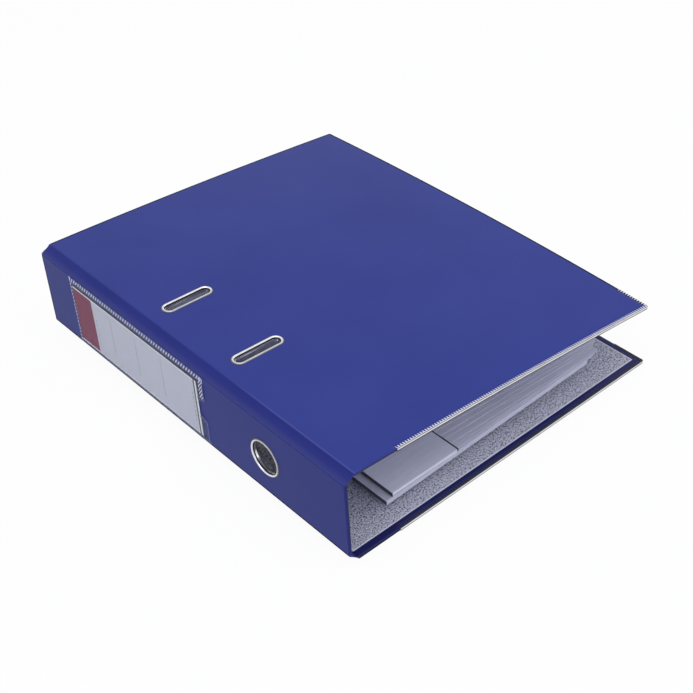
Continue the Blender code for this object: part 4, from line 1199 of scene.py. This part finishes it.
def label_pocket():
    """Height of the film over a grid of the pocket: low along the welds and risen over the card.
    Rows run from the notched foot end to the head, columns up the spine."""
    low, high, foot, head = pocket_low.z, pocket_high.z + POCKET_LAP, pocket_low.y, pocket_high.y
    middle = (low + high) / 2
    lower = np.linspace(low + BORDER_END, middle + NOTCH_RADIUS, NOTCH_STEPS)
    upper = np.arange(lower[-1] + FILM_STEP, high - TOP_START, FILM_STEP)
    z = np.r_[low + BORDER_STEPS, lower, upper, high - TOP_STEPS]
    start = foot + np.clip(NOTCH_RADIUS ** 2 - (z - middle) ** 2, 0, None) ** 0.5
    run = np.r_[np.linspace(0, RUN_FINE, RUN_STEPS), np.linspace(RUN_FINE, 1, RUN_STEPS)[1:]]
    y = start[None, :] + (head - BORDER_END - start)[None, :] * run[:, None]
    y = np.concatenate([y, np.repeat((head - BORDER_STEPS[::-1])[:, None], len(z), 1)])
    z, start = np.broadcast_to(z, y.shape), np.broadcast_to(start, y.shape)
    from_top, from_low, from_head, from_foot = high - z, z - low, head - y, y - start
    label_gap = high - label_high.z
    rise = ease((from_top - TOP_WELD - TOP_RISE_GAP) / (label_gap - TOP_WELD - TOP_RISE_SHORT))
    rise *= ease((from_low - RISE_FROM) / RISE_WIDE) * ease((from_head - RISE_FROM) / RISE_WIDE)
    height = POCKET_WELD + (POCKET_HIGH - POCKET_WELD) * rise
    points = np.stack([spine_low.x - height, y, z], -1)
    film = piece("label_pocket_film", points, quads(*y.shape, flip=True), clear_film_finish())

    lip = (z > middle + NOTCH_RADIUS + LIP_CLEAR) & (from_top > LIP_CLEAR)
    mark(film, "top_weld", band(from_top, *TOP_BAND))
    mark(film, "end_weld", np.maximum(band(from_head, *HEAD_BAND), band(from_foot, *LIP_BAND) * lip))
    at_edge = np.minimum.reduce([from_low, from_head, from_foot]) < PALE_EDGE
    mark(film, "pale", PALE_SHARE * at_edge)
    # A narrow band just past the card's edges, away from the head weld, is marked for a dark line:
    # painted shadow
    past_card = np.stack([z - label_high.z - FOLD_SHIFT, label_low.z - z, label_low.y - FOLD_SHIFT - y])
    beside = np.all(past_card < FOLD_LINE, axis=0) & (from_head > FOLD_CLEAR)
    mark(film, "fold", beside * band(past_card, *FOLD_BAND).max(0))
    thicken(film, "skin", POCKET_SKIN)
    return film


dress(label_pocket(), "spine", "clear_film", "label_pocket")


# Label card: a loose pale card in the pocket, printed with a plain red heading band at its head, a
# dotted line beside it, three fine rules to write between, and a fine line and dots at its foot.
# A white border runs along its long sides and its foot.
LABEL_BAND = 107.2 * MM
LABEL_RULES = (83.5 * MM, 52.5 * MM, 21.5 * MM)
LABEL_WRITING = (22 * MM, 56 * MM)
RULE_HALF = 0.22 * MM
DOT_HALF = 0.35 * MM
DOT_LONG = 1.1 * MM
DOT_SPACING = 2 * MM
LABEL_EDGE = 1.0 * MM
LABEL_FOOT_EDGE = 1.7 * MM
LABEL_FOOT_LINE = 3.3 * MM
LABEL_RED = (0.21, 0.022, 0.07)
LABEL_WHITE = (0.92, 0.92, 0.97)
RULE_GREY = (0.3, 0.3, 0.36)
DOT_GREY = (0.26, 0.27, 0.34)
FOOT_LINE_GREY = (0.1, 0.09, 0.12)

# Dotted lines across the card: place along the spine, then where each starts and ends up it
LABEL_DOTS = (
    (103.8 * MM, 20 * MM, 47 * MM),
    (label_low.y + 5.4 * MM, 22 * MM, 50 * MM),
)


def label_finish():
    """White card with paper grain, a red band, rules and dotted lines, placed along the spine and up
    it, and a white border."""
    made, tree, shader = finish("label_card", Roughness=0.7, Specular_IOR_Level=0.3)
    y, z = spine_coordinates(tree)
    pulp = grain(tree, 500, 3)
    colour = ramp(tree, pulp, [(0.3, (0.58, 0.6, 0.7)), (0.7, (0.63, 0.65, 0.75))])
    writing = between(tree, z, *LABEL_WRITING)
    for rule in LABEL_RULES:
        line = between(tree, y, rule - RULE_HALF, rule + RULE_HALF)
        colour = layer(tree, combine(tree, line, writing), colour, RULE_GREY)
    beat = between(tree, combine(tree, z, DOT_SPACING, "PINGPONG"), 0.0, DOT_LONG)
    for at, low, high in LABEL_DOTS:
        line = between(tree, y, at - DOT_HALF, at + DOT_HALF)
        dots = combine(tree, line, between(tree, z, low, high))
        colour = layer(tree, combine(tree, dots, beat), colour, DOT_GREY)
    colour = layer(tree, between(tree, y, LABEL_BAND, 1.0), colour, LABEL_RED)
    inside = combine(
        tree, combine(tree, y, label_low.y + LABEL_FOOT_EDGE, "GREATER_THAN"),
        between(tree, z, label_low.z + LABEL_EDGE, label_high.z - LABEL_EDGE),
    )
    colour = layer(tree, combine(tree, 1.0, inside, "SUBTRACT"), colour, LABEL_WHITE)
    foot_line = between(tree, y, label_low.y + LABEL_FOOT_EDGE, label_low.y + LABEL_FOOT_LINE)
    colour = layer(tree, foot_line, colour, FOOT_LINE_GREY)
    feed(tree, shader, Base_Color=colour)
    bump(tree, shader, pulp, 0.02 * MM, 0.5)
    return made


repaint("label_card", label_finish())


# Base plate and its rivets: a shallow tray pressed from plated steel, riveted through the rear
# cover, that carries the whole mechanism.
SOLID_MERGE = 2e-6
SOLID_SHARP_DEGREES = 38
FLAT_TURN = math.radians(0.5)
HARD_TURN = 0.52
PLATE_ROUND = 0.35 * MM
RIVET_ROUND = 0.4 * MM


def softened(name, node, width, made, body, slot="nickel"):
    """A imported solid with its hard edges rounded: its triangles merged, flat faces joined, and each
    edge that turns more than about 30 degrees given a round of a width."""
    rounded = bmesh.new()
    rounded.from_mesh(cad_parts[node].data)
    bmesh.ops.remove_doubles(rounded, verts=rounded.verts, dist=SOLID_MERGE)
    bmesh.ops.dissolve_limit(
        rounded, angle_limit=FLAT_TURN, verts=rounded.verts, edges=rounded.edges,
    )
    if width:
        closed = [edge for edge in rounded.edges if edge.is_manifold]
        hard = [edge for edge in closed if edge.calc_face_angle() > HARD_TURN]
        bmesh.ops.bevel(
            rounded, geom=hard, offset=width, segments=2, affect="EDGES", clamp_overlap=True,
        )
    mesh = bpy.data.meshes.new(name)
    rounded.to_mesh(mesh)
    rounded.free()
    return dress(shown(name, mesh, made, SOLID_SHARP_DEGREES), body, slot, node)


def spangled_finish():
    """Zinc-plated sheet with the mottled spangle of hot dipping."""
    made, tree, shader = finish("spangled_zinc", Metallic=1.0)
    spangle = grain(tree, 800, 2)
    patch = ramp(tree, spangle, [
        (0.36, (0.2, 0.2, 0.21)), (0.5, (0.46, 0.46, 0.46)), (0.64, (0.66, 0.66, 0.65)),
    ])
    feed(tree, shader, Base_Color=patch)
    feed(tree, shader, Roughness=spread(tree, spangle, 0.55, 0.35))
    return made


satin_nickel = nickel_finish("satin_nickel", (0.62, 0.62, 0.61), 0.38)
softened("mechanism_base", "base_plate", PLATE_ROUND, spangled_finish(), "rear_cover")
for number, node in enumerate(RIVETS, 1):
    softened("rivet_%d" % number, node, RIVET_ROUND, satin_nickel, "rear_cover")


# Posts, arch and saddles: two fixed posts stand in the base plate, and one bent wire makes both
# arches, their shaft and the crank between them. Two saddles hold the shaft down.
POST_ROUND = 0.5 * MM
SADDLE_ROUND = 0.25 * MM

softened("post_foot", "fixed_post_foot", POST_ROUND, nickel, "rear_cover")
softened("post_head", "fixed_post_head", POST_ROUND, nickel, "rear_cover")
softened("arch_and_shaft", "arch_wire", 0, nickel, "arch")
softened("saddle_foot", "shaft_saddle_foot", SADDLE_ROUND, satin_nickel, "rear_cover")
softened("saddle_head", "shaft_saddle_head", SADDLE_ROUND, satin_nickel, "rear_cover")


# Lever: a plated strip that turns on a pin in its bracket, presses the crank down with a cam pin
# and ends in a black moulded grip.
STRIP_ROUND = 0.25 * MM
PIN_ROUND = 0.2 * MM
GRIP_ROUND = 1.0 * MM
GRIP_BLACK = (0.012, 0.012, 0.013)


def moulded_finish():
    """Black moulded plastic with a fine spark-eroded grain."""
    made, tree, shader = finish("black_plastic", Specular_IOR_Level=0.4)
    fine = grain(tree, 3500, 2)
    light = tuple(1.8 * part for part in GRIP_BLACK)
    feed(tree, shader, Base_Color=ramp(tree, fine, [(0.35, GRIP_BLACK), (0.65, light)]))
    feed(tree, shader, Roughness=spread(tree, fine, 0.32, 0.46))
    bump(tree, shader, fine, 0.03 * MM, 0.6)
    return made


softened("bracket", "lever_bracket", STRIP_ROUND, satin_nickel, "rear_cover")
softened("pivot_pin", "lever_pivot_pin", PIN_ROUND, nickel, "rear_cover")
softened("lever_arm", "lever", STRIP_ROUND, nickel, "lever")
softened("cam_pin", "lever_cam_pin", PIN_ROUND, nickel, "lever")
softened("grip", "lever_grip", GRIP_ROUND, moulded_finish(), "lever", "black_plastic")


# Torsion spring: five close turns of spring wire round the arch's shaft, one straight end on the
# base plate and one under the crank, which it lifts when the lever lets go.
SPRING_WIRE = 0.5 * MM
SPRING_SIDES = 10
SPRING_TURNS = 5
SPRING_TURN_STEPS = 32
SPRING_END_STEPS = 12
SPRING_PITCH = 1.8 * MM
SPRING_RADIUS = 3.2 * MM
SPRING_SHAFT = (-109 * MM, 12.35 * MM)
SPRING_FOOT = -15.5 * MM
SPRING_TAIL = (-119 * MM, -15.5 * MM, 9.15 * MM)
SPRING_END = (-103.1 * MM, -2.5 * MM, 9.15 * MM)


def spring_path():
    """From the tail to the shaft's underside, round it turn by turn, then out to the crank."""
    turn = np.linspace(0, SPRING_TURNS * 2 * math.pi, SPRING_TURNS * SPRING_TURN_STEPS + 1)
    coil = np.stack([
        SPRING_SHAFT[0] + SPRING_RADIUS * np.sin(turn),
        SPRING_FOOT + SPRING_PITCH * turn / (2 * math.pi),
        SPRING_SHAFT[1] - SPRING_RADIUS * np.cos(turn),
    ], -1)
    blend = np.linspace(0, 1, SPRING_END_STEPS)[:-1, None]
    lead = np.array(SPRING_TAIL) * (1 - blend) + coil[0] * blend
    out = coil[-1] * blend + np.array(SPRING_END) * (1 - blend)
    return np.concatenate([lead, coil, out[::-1]])


def wire(name, path, radius, made):
    """A round wire: a circle carried along a path, square to it, without twist."""
    way = np.gradient(path, axis=0)
    way /= np.linalg.norm(way, axis=1)[:, None]
    across = np.cross(way, (0, 1, 0.01))
    across /= np.linalg.norm(across, axis=1)[:, None]
    over = np.cross(way, across)
    turn = np.linspace(0, 2 * math.pi, SPRING_SIDES, endpoint=False)[None, :, None]
    loops = path[:, None] + radius * (across[:, None] * np.cos(turn) + over[:, None] * np.sin(turn))
    return carried(name, loops, made)


spring_steel = nickel_finish("spring_steel", (0.5, 0.5, 0.51), 0.3)
spring = wire("torsion_spring", spring_path(), SPRING_WIRE, spring_steel)
dress(spring, "rear_cover", "spring_steel", "arch_spring")


# Divider cards: two sets of grey index cards, lying a little askew on the mechanism with a stepped
# spine edge. The loose top sheets have slid, so their foot edges fan out beside the smooth binding
# strip. A dark sheet over each set's spine edge is painted shade, and a near-black one in the
# crease beside the strip is painted shadow.
CARD_CORNER = 3.5 * MM
CARD_SKEW = 0.022
CARD_SOFT = 0.06 * MM
CARD_GAP = 0.03 * MM
CARD_SHIFTS = np.array([0, 0.25, 0.1, 0.35, 0.05, 0.3, 0.15, 0.4, 0.0]) * MM
CARD_STEPS = 24
CORNER_STEPS = 10
LOWER_SHORT = 12 * MM
UPPER_SHORT = 9 * MM
SHEET_GAP = 0.01 * MM
BINDING_WIDE = 59 * MM
BINDING_THICK = 2.3 * MM
BINDING_CORNER = 0.3 * MM
BINDING_GAP = 1.2 * MM
CREASE_DEEP = 0.3 * MM
CREASE_SHORT = 0.3 * MM
SHADE_SHEET = 0.15 * MM
SHADE_SHEET_LAP = 0.2 * MM
SHADE_SHEET_SHORT = 0.4 * MM
SHADE_SHEET_CORNER = 0.05 * MM
lower_low, lower_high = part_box("divider_set_lower")
upper_low, upper_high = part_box("divider_set_upper")

# Loose sheets beside the binding strip, bottom to top, in millimetres: how far each foot edge has
# slid in, how much it slopes along the sheet, and how far its fore-edge reaches past the set below
LOOSE_SHEETS = (
    (0.2, 0.022, 1), (1.1, 0.021, 2), (2.6, 0.011, 4), (4.8, -0.008, 7), (8.2, -0.026, 4),
    (13.6, -0.034, 8), (18.0, -0.052, 11), (23.3, -0.072, 14),
)


def card(name, spine_edge, fore_edge, foot, slope, head, bottom, thick, corner, made):
    """One card: rows across it, denser at its round fore-edge corners, and columns from its foot
    edge, which may slope, to its head. Two such sheets a thickness apart are joined at the rim."""
    swing = np.linspace(0, math.pi / 2, CORNER_STEPS)[1:]
    straight = np.linspace(spine_edge, fore_edge - corner, CARD_STEPS)
    x = np.r_[straight, fore_edge - corner * (1 - np.sin(swing))]
    cut = np.r_[np.zeros(CARD_STEPS), corner * (1 - np.cos(swing))]
    low = foot + slope * (x - spine_edge) + cut
    high = head - cut
    loop = np.r_[np.stack([x, low], -1), np.stack([x, high], -1)[::-1]]
    soft = min(CARD_SOFT, thick / 4)
    round_edge = np.array([[soft, 0], [0, soft], [0, thick - soft], [soft, thick]])
    centre = loop.mean(0)
    way = (centre - loop) / np.linalg.norm(centre - loop, axis=1)[:, None]
    loops = np.stack([
        np.concatenate([loop + way * inset, np.full((len(loop), 1), bottom + rise)], 1)
        for inset, rise in round_edge
    ])
    return carried(name, loops, made)


def divider_finish(name, light, dark):
    """Grey card with a faint lengthwise fibre and a fine tooth."""
    made, tree, shader = finish(name, Roughness=0.62, Specular_IOR_Level=0.35)
    fibre = grain(tree, 60, 4, (1, 6, 6))
    feed(tree, shader, Base_Color=ramp(tree, fibre, [(0.3, dark), (0.7, light)]))
    bump(tree, shader, grain(tree, 1500, 2), 0.02 * MM, 0.5)
    return made


def card_set(name, low, high, top, fore_edge, node, made):
    """A stack of cards from the floor of a set to its top, each shifted a little from the next."""
    step = (top - low.z) / len(CARD_SHIFTS)
    for number, (shift, fore_shift) in enumerate(zip(CARD_SHIFTS, CARD_SHIFTS[::-1])):
        sheet = card(
            "%s_%d" % (name, number + 1), low.x + shift, fore_edge + fore_shift,
            low.y + fore_shift / 2, CARD_SKEW, high.y, low.z + number * step, step - CARD_GAP,
            CARD_CORNER, made,
        )
        dress(sheet, "rear_cover", "divider_card", node)


divider_card = divider_finish("divider_card", (0.68, 0.695, 0.84), (0.6, 0.615, 0.755))
binding_card = divider_finish("binding_card", (0.77, 0.785, 0.93), (0.7, 0.715, 0.87))
loose_floor = upper_high.z - BINDING_THICK
lower_fore = lower_high.x - LOWER_SHORT
upper_fore = upper_high.x - UPPER_SHORT
card_set(
    "lower_divider", lower_low, lower_high, lower_high.z, lower_fore, "divider_set_lower", divider_card,
)
card_set(
    "upper_divider", upper_low, upper_high, loose_floor, upper_fore, "divider_set_upper", divider_card,
)
sheet_step = BINDING_THICK / len(LOOSE_SHEETS)
for number, (slid, slope, past) in enumerate(LOOSE_SHEETS):
    sheet = card(
        "loose_sheet_%d" % (number + 1), upper_low.x + BINDING_WIDE + BINDING_GAP,
        upper_fore + past * MM, upper_low.y + slid * MM, slope, upper_high.y,
        loose_floor + number * sheet_step, sheet_step - SHEET_GAP, CARD_CORNER, divider_card,
    )
    dress(sheet, "rear_cover", "divider_card", "divider_set_upper")
binding = card(
    "binding_strip", upper_low.x, upper_low.x + BINDING_WIDE, upper_low.y, 0.0, upper_high.y,
    loose_floor, BINDING_THICK, BINDING_CORNER, binding_card,
)
dress(binding, "rear_cover", "divider_card", "divider_set_upper")


def shade_sheet_finish(name, dark, light):
    """A dark sheet with a fine grain, standing in for shade."""
    made, tree, shader = finish(name, Roughness=0.85, Specular_IOR_Level=0.1)
    weave = grain(tree, 1500, 2)
    feed(tree, shader, Base_Color=ramp(tree, weave, [(0.3, dark), (0.7, light)]))
    return made


# Near-black sheet for the painted shadow in the crease, dark grey sheets for the painted shade on the
# spine edges
crease_shadow_sheet = shade_sheet_finish("crease_shadow_sheet", (0.008, 0.008, 0.014), (0.02, 0.02, 0.03))
edge_shade_sheet = shade_sheet_finish("edge_shade_sheet", (0.06, 0.06, 0.08), (0.11, 0.11, 0.14))
crease_at = upper_low.x + BINDING_WIDE
crease = card(
    "binding_crease", crease_at - SHADE_SHEET_LAP, crease_at + BINDING_GAP + SHADE_SHEET_LAP,
    upper_low.y + CREASE_SHORT, 0.0, upper_high.y, loose_floor, BINDING_THICK - CREASE_DEEP,
    SHADE_SHEET_CORNER, crease_shadow_sheet,
)
dress(crease, "rear_cover", "divider_card", "divider_set_upper")
# A dark sheet over each set's spine edge: painted shade on those faces
for name, low, high in (("lower", lower_low, lower_high), ("upper", upper_low, upper_high)):
    shade_sheet = card(
        name + "_tape", low.x - SHADE_SHEET, low.x + SHADE_SHEET_LAP, low.y, 0.0, high.y, low.z,
        high.z - low.z - SHADE_SHEET_SHORT, SHADE_SHEET_CORNER, edge_shade_sheet,
    )
    dress(shade_sheet, "rear_cover", "divider_card", "divider_set_" + name)


# Compressor bar: a strip of plated steel, pierced for the two posts. It slides down them and holds
# the filed sheets flat.
BAR_ROUND = 0.4 * MM

softened("compressor", "compressor_bar", BAR_ROUND, nickel, "compressor")
